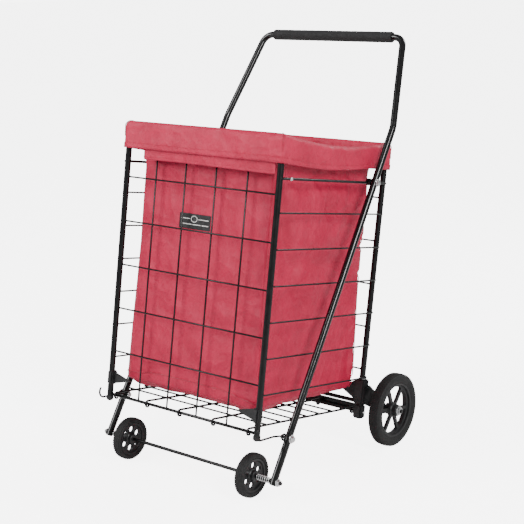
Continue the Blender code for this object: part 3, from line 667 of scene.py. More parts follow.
# %% Nuts, washers and rivets
def hexagon(radius, at):
    turns = [radians(60 * n + 30) for n in range(6)]
    return [(at[0] + radius * cos(turn), at[1] + radius * sin(turn)) for turn in turns]


def washer(x, sign, thick, radius, at):
    bore, ease = 0.0012, 0.0004
    profile = [(bore, 0), (radius - ease, 0), (radius, thick * 0.3), (radius, thick * 0.7)]
    profile += [(radius - ease, thick), (bore, thick)]
    return turned_out("washer", sign, profile, x, at, 40, 60)


def hex_plate(sign, near, far, radius, at, soft):
    """A nut or a bolt's head, between two distances from the middle."""
    return prism("hex", hexagon(radius, at), sign * near, sign * far, soft)


print("fastener helpers ready")


# %% [markdown]
# The thicker rod at the top of each side carries the handle. It has a round boss
# behind the handle's tube, a plated bolt through both, and a rivet near the front.


# %% Top side rods
BOSS = [(0.001, 0), (0.0072, 0), (0.008, 0.0008), (0.008, 0.0095), (0.0072, 0.0112), (0.001, 0.0112)]
RIVET = [(0.0002, 0), (0.0042, 0), (0.0042, 0.0008), (0.0034, 0.0022), (0.0018, 0.0029), (0.0002, 0.003)]
RIVET_V = 0.022
LEG_IN, LEG_OUT = LEG_X - HANDLE_R, LEG_X + HANDLE_R
for side, sign in SIDES:
    rod = side_wire(sign, SIDE_ROD_LEVEL, ROD_R)
    boss = turned_out("boss", sign, BOSS, sign * (POST_X + POST_R + 0.001), UPPER_PIVOT, 36)
    rod_body, name = "top_side_rods", f"upper_pivot_bolt_{side}"
    made = joined("rod", [rod, boss])
    piece(f"top_rod_{side}", made, rod_body, satin_paint, "black_paint", f"side_rod_{side}")
    shank = [(sign * reach, *UPPER_PIVOT) for reach in (LEG_IN - 0.0003, LEG_OUT + 0.002)]
    bolt = [
        washer(sign * (LEG_OUT + 0.0003), sign, 0.0012, 0.0086, UPPER_PIVOT),
        hex_plate(sign, LEG_OUT + 0.0014, LEG_OUT + 0.005, 0.0072, UPPER_PIVOT, 0.0006),
        tube("shank", shank, 0.003),
    ]
    piece(f"rod_bolt_{side}", joined("bolt", bolt), rod_body, zinc, "zinc", name)
    face = sign * (POST_X + POST_R + 0.0005 + 2 * ROD_R + 0.0003)
    rivet = turned_out("rivet", sign, RIVET, face, (RIVET_V, SIDE_ROD_LEVEL), 24)
    piece(f"rod_rivet_{side}", rivet, rod_body, zinc, "zinc", f"side_rod_rivet_{side}")
print("two top rods, with their bosses, bolts and rivets")


# %% [markdown]
# ## Tray, latches and fittings
# The basket's floor is a tray of wires. Each long wire hooks round the front bar
# and ends in an eye on the hinge rod at the rear, and seven cross wires are welded
# over them. An arc gives each hook the clearance that it needs round its bar.


# %% Tray
TRAY_WIRES, TRAY_CROSSES, RUNNING_GAP = 5, 7, 0.0008
hook_radius = BAR_R + RUNNING_GAP + TRAY_R
cross_level = BAR_LEVEL + hook_radius + TRAY_R + WIRE_R - WELD_SINK
half_tray = POST_X - 0.022
crosses = [DEPTH * (k + 1) / (TRAY_CROSSES + 1) for k in range(TRAY_CROSSES)]
wires, beads = [], []
for n in range(TRAY_WIRES):
    x = half_tray * (2 * n / (TRAY_WIRES - 1) - 1)
    hook = arc((0, BAR_LEVEL), hook_radius, -60, -210, 16, x)
    eye = arc((DEPTH, BAR_LEVEL), ROD_R + RUNNING_GAP + TRAY_R, 90, -300, 24, x)
    wires.append(tube("long", hook + eye, TRAY_R))
    beads += [(Vector((x, v, cross_level - 0.0018)), LEVEL) for v in crosses]
for v in crosses:
    reach = half_tray + 0.006
    wires.append(tube("cross", [(-reach, v, cross_level), (reach, v, cross_level)], WIRE_R))
wires.append(copied("welds", ball(0.0029, (1.1, 1.1, 0.8)), beads, satin_paint))
piece("tray_wires", joined("tray", wires, 60), "tray", satin_paint, "black_paint", "tray_frame")
hinge = [(sign * (POST_X - POST_R - 0.004), DEPTH, BAR_LEVEL) for _, sign in SIDES]
piece("tray_rod", tube("hinge", hinge, ROD_R, 18), "root", satin_paint, "black_paint", "tray_hinge_rod")
print(len(crosses) + TRAY_WIRES, "tray wires and", len(beads), "welds")


# %% [markdown]
# A wire hook on each lower pivot bolt catches the front bar and holds the basket
# open. It is one wire: an eye round the bolt, a straight run and a curled tip.


# %% Latches
for side, sign in SIDES:
    x, level = sign * (POST_X + POST_R + 0.008), LOWER_PIVOT[1]
    eye = arc(LOWER_PIVOT, 0.0062, -180, 330, 24, x)
    run = [Vector((x, 0.040, level + 0.006)), Vector((x, -0.004, level + 0.004))]
    tip = arc((-0.006, level + 0.018), 0.014, -90, -130, 16, x)
    hook = tube("latch", eye + run + tip, 0.0023)
    piece(f"latch_{side}", hook, f"latch_{side}", satin_paint, "black_paint", f"latch_hook_{side}")
print("two latch hooks")


# %% [markdown]
# The handle and the front legs are one long tube. Its path has six points, of which
# four are bends of two radii. The foam sleeve is turned, with rounded lips and a
# ripple so slight that only its highlight shows it. It gives way to a hand.


# %% Push handle and its foam grip
LEG_FOOT, LEG_BEND = -0.171, 0.614
GRIP_HALF_TUBE = 0.2045
SLEEVE_HALF, SLEEVE_R = 0.175, 0.0129
slope = (UPPER_PIVOT[0] - LOWER_PIVOT[0]) / (UPPER_PIVOT[1] - LOWER_PIVOT[1])


def on_leg(x, level):
    """The point of the leg's line at a level."""
    return (x, LOWER_PIVOT[0] + slope * (level - LOWER_PIVOT[1]), level)


half = [on_leg(-LEG_X, LEG_FOOT), on_leg(-LEG_X, LEG_BEND), (-GRIP_HALF_TUBE, *GRIP)]
points = half + [(-x, v, w) for x, v, w in reversed(half)]
bent = tube("handle", rounded(points, (0.090, 0.028, 0.028, 0.090), 16), HANDLE_R, 28, 0.12)
piece("push_handle_bar", bent, "push_handle", gloss_paint, "black_paint", "handle_tube")
lip = [
    (HANDLE_R + 0.0003, SLEEVE_HALF), (0.0108, SLEEVE_HALF), (0.0121, SLEEVE_HALF - 0.0007),
    (0.0128, SLEEVE_HALF - 0.0025),
]
run = SLEEVE_HALF - 0.003
profile = [(r, -along) for r, along in lip]
profile += [(SLEEVE_R + 0.00012 * sin(n * 1.7), -run + 2 * run * n / 60) for n in range(61)]
profile += reversed(lip)
sleeve = lathe("grip", profile, 0, GRIP, 48)
grip = piece("handle_sleeve", sleeve, "push_handle", foam, "grip_foam", "foam_grip")
print(f"handle grip {GRIP[1] - FRONT_AXLE[1]:.3f} m above the front axle, measured along the posts")


# %% [markdown]
# The legs turn on plated bolts through the lower pivots. At their feet a nut closes
# each end of the front axle, and a short spring keeps each wheel away from the leg.
# The spring is a helix worked out by a loop: so many turns, so many steps.


# %% Bolts, nuts and springs of the legs
FRONT_WHEEL_X, FRONT_WHEEL_WIDTH = 0.184, 0.023
BOLT_IN = POST_X + POST_R + 0.003
SPRING_TURNS, SPRING_STEPS, SPRING_R, SPRING_WIRE_R = 7, 168, 0.0058, 0.001
for side, sign in SIDES:
    bolt = [
        washer(sign * (LEG_OUT + 0.0003), sign, 0.0015, 0.0095, LOWER_PIVOT),
        hex_plate(sign, LEG_OUT + 0.0017, LEG_OUT + 0.0065, 0.0068, LOWER_PIVOT, 0.0006),
        tube("shank", [(sign * reach, *LOWER_PIVOT) for reach in (BOLT_IN, LEG_OUT + 0.003)], 0.003),
        hex_plate(sign, BOLT_IN - 0.0009, BOLT_IN + 0.0018, 0.006, LOWER_PIVOT, 0.0004),
    ]
    piece(f"leg_bolt_{side}", joined("bolt", bolt), "push_handle", zinc, "zinc", f"lower_pivot_bolt_{side}")
    nut = [
        hex_plate(sign, LEG_OUT + 0.0004, LEG_OUT + 0.006, 0.0074, FRONT_AXLE, 0.0007),
        washer(sign * (LEG_OUT + 0.0003), sign, 0.001, 0.0088, FRONT_AXLE),
    ]
    piece(f"front_nut_{side}", joined("nut", nut), "push_handle", zinc, "zinc", f"front_axle_nut_{side}")
    low = FRONT_WHEEL_X + FRONT_WHEEL_WIDTH / 2 + 0.0036 + SPRING_WIRE_R
    high = LEG_IN - 0.0006 - SPRING_WIRE_R
    coil = []
    for n in range(SPRING_STEPS + 1):
        turn = 2 * pi * SPRING_TURNS * n / SPRING_STEPS
        x = sign * (low + (high - low) * n / SPRING_STEPS)
        coil.append((x, FRONT_AXLE[0] + SPRING_R * cos(turn), FRONT_AXLE[1] + SPRING_R * sin(turn)))
    spring = tube("spring", coil, SPRING_WIRE_R, 10)
    piece(f"spring_{side}", spring, "push_handle", zinc, "zinc", f"axle_spring_{side}")
print(f"two bolts, two nuts and two springs {1000 * (high - low):.0f} mm long")


# %% [markdown]
# Both axles are plain round bars with domed ends. The front one turns with the
# handle's legs and the rear one belongs to the frame.


# %% Axles
def axle_bar(name, half, at, radius, sides, body, stands_for):
    bar = tube("axle", [(sign * half, *at) for _, sign in SIDES], radius, sides, 0.2)
    piece(name, bar, body, satin_paint, "black_paint", stands_for)


HUB_END = POST_X + 0.061
axle_bar("front_axle_bar", LEG_OUT + 0.010, FRONT_AXLE, 0.004, 20, "push_handle", "front_axle")
axle_bar("rear_axle_bar", HUB_END + 0.009, REAR_AXLE, 0.005, 24, "root", "rear_axle")
for side, sign in SIDES:
    nut = [
        washer(sign * (HUB_END + 0.0003), sign, 0.0018, 0.0112, REAR_AXLE),
        hex_plate(sign, HUB_END + 0.0018, HUB_END + 0.0065, 0.009, REAR_AXLE, 0.0008),
    ]
    piece(f"rear_nut_{side}", joined("nut", nut), "root", zinc, "zinc", f"rear_axle_nut_{side}")
print(f"axles {2 * (LEG_OUT + 0.010):.3f} and {2 * (HUB_END + 0.009):.3f} m long")


# %% [markdown]
# The corner fittings are the solid model's own meshes, which already have the right
# shape, and only get a finish here. Each rear foot block has a small screw, and a
# plated rim closes the top of each rear sleeve. The rims are turned flat and then
# stood up, because lathe only turns about an axle along x.


# %% Corner fittings
SCREW = [(0.0002, 0), (0.0034, 0), (0.0034, 0.001), (0.0024, 0.0021), (0.0002, 0.0024)]
RIM = [(0.0075, -0.0004), (0.0092, -0.0004), (0.0094, 0.0), (0.0092, 0.0012), (0.0075, 0.0014)]
SLEEVE_TOP = 0.0205
moulded = ("rear_corner_bracket", "rear_foot_block", "front_corner_gusset", "front_foot_cap")
for name, finish, slot in [(name, plastic, "black_plastic") for name in moulded] + [
    ("axle_bracket", satin_paint, "black_paint"), ("rear_cross_channel", satin_paint, "black_paint"),
]:
    sides = [""] if name == "rear_cross_channel" else ["_left", "_right"]
    for side in sides:
        kept = frame["nodes"][name + side]
        kept.data.materials.clear()
        kept.data.materials.append(finish)
for side, sign in SIDES:
    screw = turned_out("screw", sign, SCREW, sign * (POST_X + 0.0110), (DEPTH, -0.060), 24)
    piece(f"block_screw_{side}", screw, "root", zinc, "zinc")
    bm = bmesh.new()
    bm.from_mesh(lathe("rim", RIM, 0, (0, 0), 40))
    place = Matrix.Translation((sign * POST_X, rear_line(SLEEVE_TOP), SLEEVE_TOP))
    bm.transform(place @ Matrix.Rotation(-pi / 2, 4, "Y"))
    piece(f"sleeve_rim_{side}", mesh_of("rim", bm), "root", zinc, "zinc")
print("fittings finished, with two screws and two rims added")


# %% [markdown]
# ## Wheels
# Each wheel is a moulded disc in a rubber tyre. The small front ones are pierced by
# round holes and the rear ones by wide openings that leave six spokes of even
# width. An opening's outline is two arcs, joined by straight edges, with its four
# corners eased.


# %% Openings of a wheel
SPOKES = 6


def between_spokes(axle, radius, n):
    """A point halfway between two spokes."""
    turn = 2 * pi * (n + 0.5) / SPOKES
    return axle[0] + radius * cos(turn), axle[1] + radius * sin(turn)


def sector(axle, inner, outer, n, half_spoke, ease=0.0026):
    """The outline of one opening, with its corners eased."""
    path = []
    middle = 2 * pi * (n + 0.5) / SPOKES
    for radius, sense in ((inner, 1), (outer, -1)):
        reach = pi / SPOKES - half_spoke / radius
        for k in range(9):
            turn = middle + sense * reach * (k / 4 - 1)
            path.append(Vector((axle[0] + radius * cos(turn), axle[1] + radius * sin(turn))))
    eased = []
    for k, corner in enumerate(path):
        if k not in (0, 8, 9, 17):
            eased.append(tuple(corner))
            continue
        sides = path[k - 1] - corner, path[(k + 1) % len(path)] - corner
        a, b = [corner + side.normalized() * min(ease, side.length * 0.45) for side in sides]
        for t in (0, 0.25, 0.5, 0.75, 1):
            eased.append(tuple(a * (1 - t) ** 2 + corner * 2 * t * (1 - t) + b * t**2))
    return eased


print(SPOKES, "openings in each wheel")


# %% [markdown]
# The disc is one profile turned about the axle, and then cut. The profile is
# written for one side and mirrored. The tyre's tread would be lost as a bump on a
# black surface, so it is real: four staggered rows of small blocks, copied round
# by the node group.


# %% Disc and tyre
TREAD_ROWS = ((-0.62, 0.0021), (-0.21, 0.0012), (0.21, 0.0012), (0.62, 0.0021))


def mirrored(profile):
    """A closed profile from the half on one side of the wheel's middle."""
    return profile + [(r, -along) for r, along in reversed(profile)]


def disc(x, axle, seat, width, axle_r, round_holes):
    """A turned disc with a hub and a rim, pierced between its spokes."""
    half, bore, hub, web = width / 2, axle_r + 0.0003, axle_r + 0.0085, 0.0035
    profile = [
        (bore, -half - 0.0015), (hub - 0.0012, -half - 0.0015), (hub, -half - 0.0004),
        (hub + 0.0006, -web - 0.002), (hub + 0.0026, -web), (seat - 0.0075, -web),
        (seat - 0.0055, -web - 0.0015), (seat - 0.0048, -half * 0.68), (seat - 0.0036, -half * 0.74),
        (seat - 0.0002, -half * 0.74),
    ]
    cutters = []
    for n in range(SPOKES):
        if round_holes:
            middle = (hub + seat - 0.006) / 2
            size = min((seat - 0.006 - hub) / 2, middle * sin(pi / SPOKES)) - 0.0022
            at = between_spokes(axle, middle, n)
            cutters.append(tube("hole", [(x - width, *at), (x + width, *at)], size, 28, 0))
        else:
            outline = sector(axle, hub + 0.0045, seat - 0.0095, n, 0.0042)
            cutters.append(prism("gap", outline, x - width, x + width, 0))
    return cut(lathe("rim", mirrored(profile), x, axle, 96), cutters)


def tyre(x, axle, radius, seat, width, blocks):
    """A turned tyre with rows of tread blocks round it."""
    half, wall = width / 2, radius - seat
    profile = [(seat + 0.0003, -half * 0.72), (seat + wall * 0.25, -half * 0.93), (seat + wall * 0.55, -half)]
    profile += [(radius - 0.0044, -half * 0.90), (radius - 0.0022, -half * 0.74)]
    profile.append((radius - 0.0012, -half * 0.45))
    profile = [*profile, (radius - 0.0010, 0), *[(r, -along) for r, along in reversed(profile)]]
    places = []
    for row, (offset, drop) in enumerate(TREAD_ROWS):
        for n in range(blocks):
            turn = 2 * pi * (n + 0.5 * (row % 2)) / blocks
            reach = radius - drop
            spot = Vector((x + offset * half, axle[0] + reach * cos(turn), axle[1] + reach * sin(turn)))
            places.append((spot, Matrix.Rotation(turn, 3, "X")))
    outline = [(-0.0010, -0.0019), (0.0010, -0.0019), (0.0010, 0.0019), (-0.0010, 0.0019)]
    block = prism("block", outline, -half * 0.16, half * 0.16, 0.0004)
    rubber_wall = lathe("tyre", profile, x, axle, 128, 60)
    return joined("tyre", [rubber_wall, copied("tread", block, places, rubber)], 50)


print(len(TREAD_ROWS), "rows of tread blocks round a tyre")


# %% [markdown]
# Both pairs come from the same two functions. Only the sizes differ, and the shape
# of the openings.


# %% Four wheels
REAR_WHEEL_X = POST_X + 0.044
for side, sign in SIDES:
    for name, x, axle, radius, width, axle_r, share, round_holes, blocks in (
        ("front_wheel", FRONT_WHEEL_X, FRONT_AXLE, 0.050, FRONT_WHEEL_WIDTH, 0.004, 0.76, True, 54),
        ("rear_wheel", REAR_WHEEL_X, REAR_AXLE, 0.0884, 0.030, 0.005, 0.74, False, 84),
    ):
        body, seat = f"{name}_{side}", radius * share
        made = disc(sign * x, axle, seat, width, axle_r, round_holes)
        piece(f"{name}_disc_{side}", made, body, plastic, "black_plastic", f"{name}_rim_{side}")
        made = tyre(sign * x, axle, radius, seat, width, blocks)
        piece(f"{name}_tread_{side}", made, body, rubber, "tyre", f"{name}_tyre_{side}")
        print(f"{body}: {2000 * radius:.0f} mm across, {len(TREAD_ROWS) * blocks} tread blocks")


# %% [markdown]
# ## The liner
# One sheet of cloth makes the liner. It starts at the collar's hem, outside the
# posts, climbs over the top bars, hangs down inside them and closes as a floor. It
# is laid out as rings, top to bottom, with the same columns in each, so that every
# later step can name a place on the cloth by its ring and its column.
#
# The bag stands a little away from the wires, more in some places than in others.
# Four short tables say how far each of its faces stands in at a level.


# %% Outline of a ring
FRONT_CELLS, SIDE_CELLS, CORNER_CELLS = 34, 32, 5
COLUMNS = 2 * (FRONT_CELLS + SIDE_CELLS) + 4 * CORNER_CELLS
LEFT_INSET = (
    (0.56, 0.012), (0.53, 0.026), (0.49, 0.028), (0.40, 0.027), (0.31, 0.027), (0.21, 0.023), (0.11, 0.018),
    (0.0, 0.015), (-0.1, 0.015),
)
RIGHT_INSET = (
    (0.56, 0.012), (0.53, 0.020), (0.49, 0.026), (0.40, 0.028), (0.31, 0.031), (0.21, 0.029), (0.11, 0.024),
    (0.0, 0.018), (-0.1, 0.018),
)
REAR_INSET = ((0.56, 0.010), (0.50, 0.011), (0.38, 0.014), (0.20, 0.013), (0.09, 0.012), (-0.1, 0.012))
FRONT_INSET = ((0.56, 0.0095), (0.50, 0.0115), (0.30, 0.0125), (-0.1, 0.0125))


def clamped(value):
    return min(1, max(0, value))


def between(value, table):
    """Straight-line lookup in (value, result) pairs that run downwards."""
    for (high, a), (low, b) in zip(table, table[1:]):
        if value >= low:
            return b + (a - b) * clamped((value - low) / (high - low))
    return table[-1][1]


def loop(left, right, front, rear, corner):
    """(x, v) of each column on a rounded rectangle, from the front left corner on."""
    spots = []
    ins = (left + corner, right - corner), (front + corner, rear - corner)
    runs = (
        ((ins[0][0], front), (ins[0][1], front), FRONT_CELLS, (ins[0][1], ins[1][0]), -90),
        ((right, ins[1][0]), (right, ins[1][1]), SIDE_CELLS, (ins[0][1], ins[1][1]), 0),
        ((ins[0][1], rear), (ins[0][0], rear), FRONT_CELLS, (ins[0][0], ins[1][1]), 90),
        ((left, ins[1][1]), (left, ins[1][0]), SIDE_CELLS, (ins[0][0], ins[1][0]), 180),
    )
    for (x0, v0), (x1, v1), cells, (cx, cv), turn in runs:
        spots += [(x0 + (x1 - x0) * n / cells, v0 + (v1 - v0) * n / cells) for n in range(cells)]
        turns = [radians(turn + 90 * n / CORNER_CELLS) for n in range(CORNER_CELLS)]
        spots += [(cx + corner * cos(t), cv + corner * sin(t)) for t in turns]
    return spots


print(COLUMNS, "columns round the sheet")


# %% [markdown]
# The collar's rings rise outside the bars, the crown's turn over them in a half
# circle, the bag's drop inside, and the floor's shrink towards its middle. The
# crown sags between the frames on both sides, as cloth does over a gap.


# %% Rings of the sheet
COLLAR_ROWS, CROWN_ROWS, DROPS, FLOOR_ROWS = 7, 5, 52, 12
CROWN_R, CROWN_LEVEL = 0.0095, 0.5775
FLOOR_LIFT = 0.009


def crown(x, v):
    """The cloth's top edge: it lies on the bars and sags between them."""
    return CROWN_LEVEL - (0.016 * sin(pi * clamped(v / DEPTH)) ** 0.8 if abs(x) > 0.2 else 0)


def collar_foot(x, v):
    """The collar's hem, which dips on the sides."""
    return 0.517 - (0.008 * sin(pi * clamped(v / DEPTH * 1.25)) if abs(x) > 0.2 and v < 0.31 else 0)


def floor_level(v):
    return -0.031 + 0.028 * v / DEPTH


def over_bars(reach):
    """A ring round the bars, this far out from their middle."""
    return loop(-POST_X - reach, POST_X + reach, -reach, rear_line(POST_TOP) + reach, CROWN_R)


rings, kinds = [], []
for n in range(COLLAR_ROWS):
    up_to = [(x, v, collar_foot(x, v), crown(x, v) - CROWN_R) for x, v in over_bars(CROWN_R)]
    rings.append([(x, v, foot + (top - foot) * n / (COLLAR_ROWS - 1)) for x, v, foot, top in up_to])
for n in range(1, CROWN_ROWS + 1):
    turn = pi * n / (CROWN_ROWS + 1)
    spots = over_bars(CROWN_R * cos(turn))
    rings.append([(x, v, crown(x, v) - CROWN_R * (1 - sin(turn))) for x, v in spots])
for n in range(DROPS + 1):
    share = n / DROPS
    level = 0.5675 + (-0.012 - 0.5675) * share
    spots = loop(-POST_X + between(level, LEFT_INSET), POST_X - between(level, RIGHT_INSET),
                 between(level, FRONT_INSET), DEPTH - between(level, REAR_INSET), 0.012 + 0.012 * share)
    ends = [(x, v, crown(x, v) - 0.010, floor_level(v) + FLOOR_LIFT) for x, v in spots]
    rings.append([(x, v, top * (1 - share) + foot * share) for x, v, top, foot in ends])
edge = rings[-1]
for n in range(1, FLOOR_ROWS + 1):
    size = (0.975 if n == 1 else 1.0) * (1 - n / (FLOOR_ROWS + 1))
    drop = (0.007 if n == 1 else 0.010) + 0.003 * (1 - size)
    spots = [(x * size, DEPTH / 2 + (v - DEPTH / 2) * size) for x, v, _ in edge]
    rings.append([(x, v, floor_level(v) + FLOOR_LIFT - drop) for x, v in spots])
for kind, count in (("collar", COLLAR_ROWS), ("crown", CROWN_ROWS), ("bag", DROPS + 1), ("floor", FLOOR_ROWS)):
    kinds += [kind] * count
FIRST_BAG, LAST_BAG = kinds.index("bag"), kinds.index("floor") - 1
print(len(rings), "rings of", COLUMNS, "columns")


# %% [markdown]
# The rings become a mesh of four-sided cells. Its map is in metres and not
# stretched to a square, so the weave has one size everywhere on the cloth.


# %% The flat sheet as a mesh
CLOTH_ROUND = 1.744
verts = [Vector(point) for ring in rings for point in ring]
faces = []
for k in range(len(rings) - 1):
    here, below = k * COLUMNS, (k + 1) * COLUMNS
    for n in range(COLUMNS):
        after = (n + 1) % COLUMNS
        faces.append((here + n, below + n, below + after, here + after))
last = (len(rings) - 1) * COLUMNS
faces.append(tuple(last + n for n in range(COLUMNS)))
lengths = [0.0]
for k in range(1, len(rings)):
    steps = [(verts[k * COLUMNS + n] - verts[(k - 1) * COLUMNS + n]).length for n in range(COLUMNS)]
    lengths.append(lengths[-1] + sum(steps) / COLUMNS)
print(f"sheet {CLOTH_ROUND:.3f} m round and {lengths[-1]:.3f} m from hem to floor's middle")


def sheet_mesh(name, points):
    """The sheet with its points moved to new places, and its map in metres."""
    made = bpy.data.meshes.new(name)
    made.from_pydata(points, [], faces)
    layer = made.uv_layers.new(name="UVMap")
    for polygon in made.polygons:
        seam = any(made.loops[i].vertex_index % COLUMNS > COLUMNS - 2 for i in polygon.loop_indices)
        for i in polygon.loop_indices:
            ring, column = divmod(made.loops[i].vertex_index, COLUMNS)
            column += COLUMNS if seam and column == 0 else 0
            layer.data[i].uv = (CLOTH_ROUND * column / COLUMNS, lengths[ring])
    made.shade_smooth()
    return made


# %% [markdown]
# The cloth hangs from the top bars, where it is pinned. It is cut a little larger
# than the space it fills, so it buckles, and weak pins keep each panel near the
# place that its seams give it. Thirty frames are enough for it to settle, and a
# short run keeps the script quick.


# %% Cloth simulation
PIN = {"crown": 1.0, "bag": 0.035, "floor": 0.06}
FRAMES = 30


def simulated(points):
    """The points after the cloth has hung for a while."""
    mesh = sheet_mesh("drape", [BASKET @ point for point in points])
    cloth = bpy.data.objects.new("drape", mesh)
    bpy.context.scene.collection.objects.link(cloth)
    pins = cloth.vertex_groups.new(name="pins")
    for k, kind in enumerate(kinds):
        for n in range(COLUMNS):
            pins.add([k * COLUMNS + n], PIN.get(kind, 0.25 + 0.02 * k), "REPLACE")
    change = cloth.modifiers.new("cloth", "CLOTH")
    set_to = change.settings
    set_to.quality, set_to.mass, set_to.air_damping = 5, 0.25, 2.0
    set_to.tension_stiffness = set_to.compression_stiffness = 18
    set_to.shear_stiffness, set_to.bending_stiffness = 6, 0.35
    set_to.vertex_group_mass, set_to.pin_stiffness = "pins", 1.0
    set_to.shrink_min = -0.028
    change.collision_settings.use_collision = False
    change.collision_settings.use_self_collision = False
    bpy.context.scene.frame_start, bpy.context.scene.frame_end = 1, FRAMES
    change.point_cache.frame_start, change.point_cache.frame_end = 1, FRAMES
    for step in range(1, FRAMES + 1):
        bpy.context.scene.frame_set(step)
    fallen = finished(cloth)
    home = BASKET.inverted()
    settled = [home @ vertex.co for vertex in fallen.vertices]
    bpy.data.meshes.remove(fallen)
    bpy.context.scene.frame_set(1)
    return settled


hung = simulated(verts)
moved = [(after - before).length for after, before in zip(hung, verts)]
mean = sum(moved) / len(moved)
print(f"the cloth moved {1000 * mean:.1f} mm on average and {1000 * max(moved):.1f} mm at most")


# %% [markdown]
# The folds that a shopper's hands leave are added on top of the simulated drape.
# They are sums of noise: a slow swell, soft upright folds under the collar,
# slanting creases lower down, and puckers along the corners. A crease is a noise's
# zero line, raised to a high power so that it is thin.


# %% Creases
def outward(k, n, points):
    """The sheet's outer normal at a ring and column."""
    above, below = points[max(k - 1, 0) * COLUMNS + n], points[min(k + 1, len(rings) - 1) * COLUMNS + n]
    here = k * COLUMNS
    ahead, behind = points[here + (n + 1) % COLUMNS], points[here + (n - 1) % COLUMNS]
    found = (ahead - behind).cross(below - above)
    return found.normalized() if kinds[k] in ("collar", "crown") else -found.normalized()


CORNERS = []
step = 0
for run in (FRONT_CELLS, SIDE_CELLS, FRONT_CELLS, SIDE_CELLS):
    step += run + CORNER_CELLS
    CORNERS.append(step - CORNER_CELLS / 2)


def drift(*spot):
    return noise.noise(Vector(spot))


def crease_line(sharpness, *spot):
    """One along a line where the noise is nought, and nought away from it."""
    return max(0, 1 - sharpness * abs(drift(*spot))) ** 6


def crease(point, k, n):
    """How far the folds move a point of the cloth outwards."""
    x, v, w = point
    on_side = abs(x) > 0.17
    across = x if abs(x) < 0.18 else v
    slant = crease_line(2, across * 9 + w * 7, w * 5 - across * 4, 3.1 + 9 * on_side)
    other = crease_line(2.2, across * 7 - w * 9, w * 3 + across * 6, 8.7)
    swell = drift(across * 6, w * 4.5, 1.3 + (x > 0))
    upright = drift(across * 34, w * 2.2, 5.5) * clamped((w - 0.34) / 0.14)
    if kinds[k] == "collar":
        return 0.0018 * swell + 0.0014 * upright + 0.0016 * slant - 0.0012 * other
    level_folds = drift(across * 5, w * 42 + across * 9, 2.2) * clamped((0.09 - w) / 0.08)
    near = min(abs((n - corner + COLUMNS / 2) % COLUMNS - COLUMNS / 2) for corner in CORNERS)
    pucker = drift(n * 0.3, w * 62, 7.7) * max(0, 1 - near / 5)
    facet = Vector((across * 11 + 2 * swell, w * 8 + 0.6 * upright, 4.4 + 9 * on_side))
    folds = 0.0055 * swell + 0.0048 * upright - 0.0090 * slant - 0.0070 * other + 0.0030 * level_folds
    return folds + 0.0030 * pucker + 0.0110 * (0.45 - noise.voronoi(facet)[0][0])


print("creases ready, with corners at columns", CORNERS)


# %% [markdown]
# The simulation and the creases both push the cloth about, and neither knows where
# the wires are. So a push outwards stops at a limit, short of the nearest wire. The
# crown doesn't move, because the bars hold it, and the folds fade in below it.


# %% The cloth in its place
LIMITS = {"collar": (-0.0002, 0.0045), "bag": (-0.009, 0.0050), "floor": (-0.012, 0.006)}
SIDE_LIMIT, MOST_SLIDE = 0.012, 0.008
shaped = []
for k, kind in enumerate(kinds):
    for n in range(COLUMNS):
        rest = verts[k * COLUMNS + n]
        if kind == "crown":
            shaped.append(rest)
            continue
        low, high = LIMITS[kind]
        away = outward(k, n, verts)
        shift = hung[k * COLUMNS + n] - rest
        push = shift.dot(away)
        slide = shift - away * push
        slide *= min(1, MOST_SLIDE / max(slide.length, 1e-9))
        if kind == "floor":
            push *= 0.5
        fade = min(1, (k - FIRST_BAG + 1) / 5) if kind == "bag" else 1
        if kind == "bag" and abs(away.x) > 0.9 and k > FIRST_BAG + 8:
            high = SIDE_LIMIT
        push = min(high, max(low, push + fade * crease(rest, k, n)))
        shaped.append(rest + slide * fade + away * push)
print(f"cloth kept within {1000 * SIDE_LIMIT:.0f} mm of its rings")


# %% [markdown]
# The sheet gets its thickness here: one level of subdivision rounds the folds, and
# Solidify gives it two faces. Cloth can't follow a basket that folds flat; each
# cloth piece rides the frame's root body.


# %% Liner
def cloth_piece(name, mesh, finish):
    """A piece of cloth on the frame's root body, with a mesh of its own."""
    made = piece(name, mesh, "root", finish, "liner")
    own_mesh(made)
    return made


def thickened(name, mesh, thick, levels=1):
    """The sheet with two faces, this far apart."""
    made = bpy.data.objects.new(name, mesh)
    bpy.context.scene.collection.objects.link(made)
    if levels:
        smooth = made.modifiers.new("smooth", "SUBSURF")
        smooth.levels = smooth.render_levels = levels
    walls = made.modifiers.new("walls", "SOLIDIFY")
    walls.thickness, walls.offset = thick, 0.0
    found = finished(made)
    found.shade_smooth()
    return found


liner_sheet = sheet_mesh("liner", shaped)
liner_area = sum(polygon.area for polygon in liner_sheet.polygons)
liner = cloth_piece("liner", thickened("liner", liner_sheet, 0.0010), red_cloth)
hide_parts("liner_bag")
print(f"liner area {liner_area:.3f} m2")


# %% [markdown]
# A hem is the cloth's edge turned back on itself, so it is a second, narrow band
# over the collar's foot. A seam is a thin ridge, and a tube along one column of the
# sheet follows every fold that the cloth has there.


# %% Hem and corner seams
SEAM_R = 0.0011


def lifted(k, n, lift):
    """A point of the hung sheet, moved outwards."""
    return shaped[k * COLUMNS + n] + outward(k, n, shaped) * lift


def row_at(k, lift):
    """A whole ring of the hung sheet, moved outwards."""
    return [lifted(k, n, lift) for n in range(COLUMNS)]


def grid_mesh(name, rows, across, along, closed=False):
    """A mesh of rows of points, with a map whose cells have these sizes."""
    size, made, cells = len(rows[0]), bpy.data.meshes.new(name), []
    for k in range(len(rows) - 1):
        for n in range(size if closed else size - 1):
            after = (n + 1) % size
            cells.append((k * size + n, (k + 1) * size + n, (k + 1) * size + after, k * size + after))
    made.from_pydata([spot for row in rows for spot in row], [], cells)
    layer = made.uv_layers.new(name="UVMap")
    for corner in made.loops:
        k, n = divmod(corner.vertex_index, size)
        layer.data[corner.index].uv = (n * across, k * along)
    return made


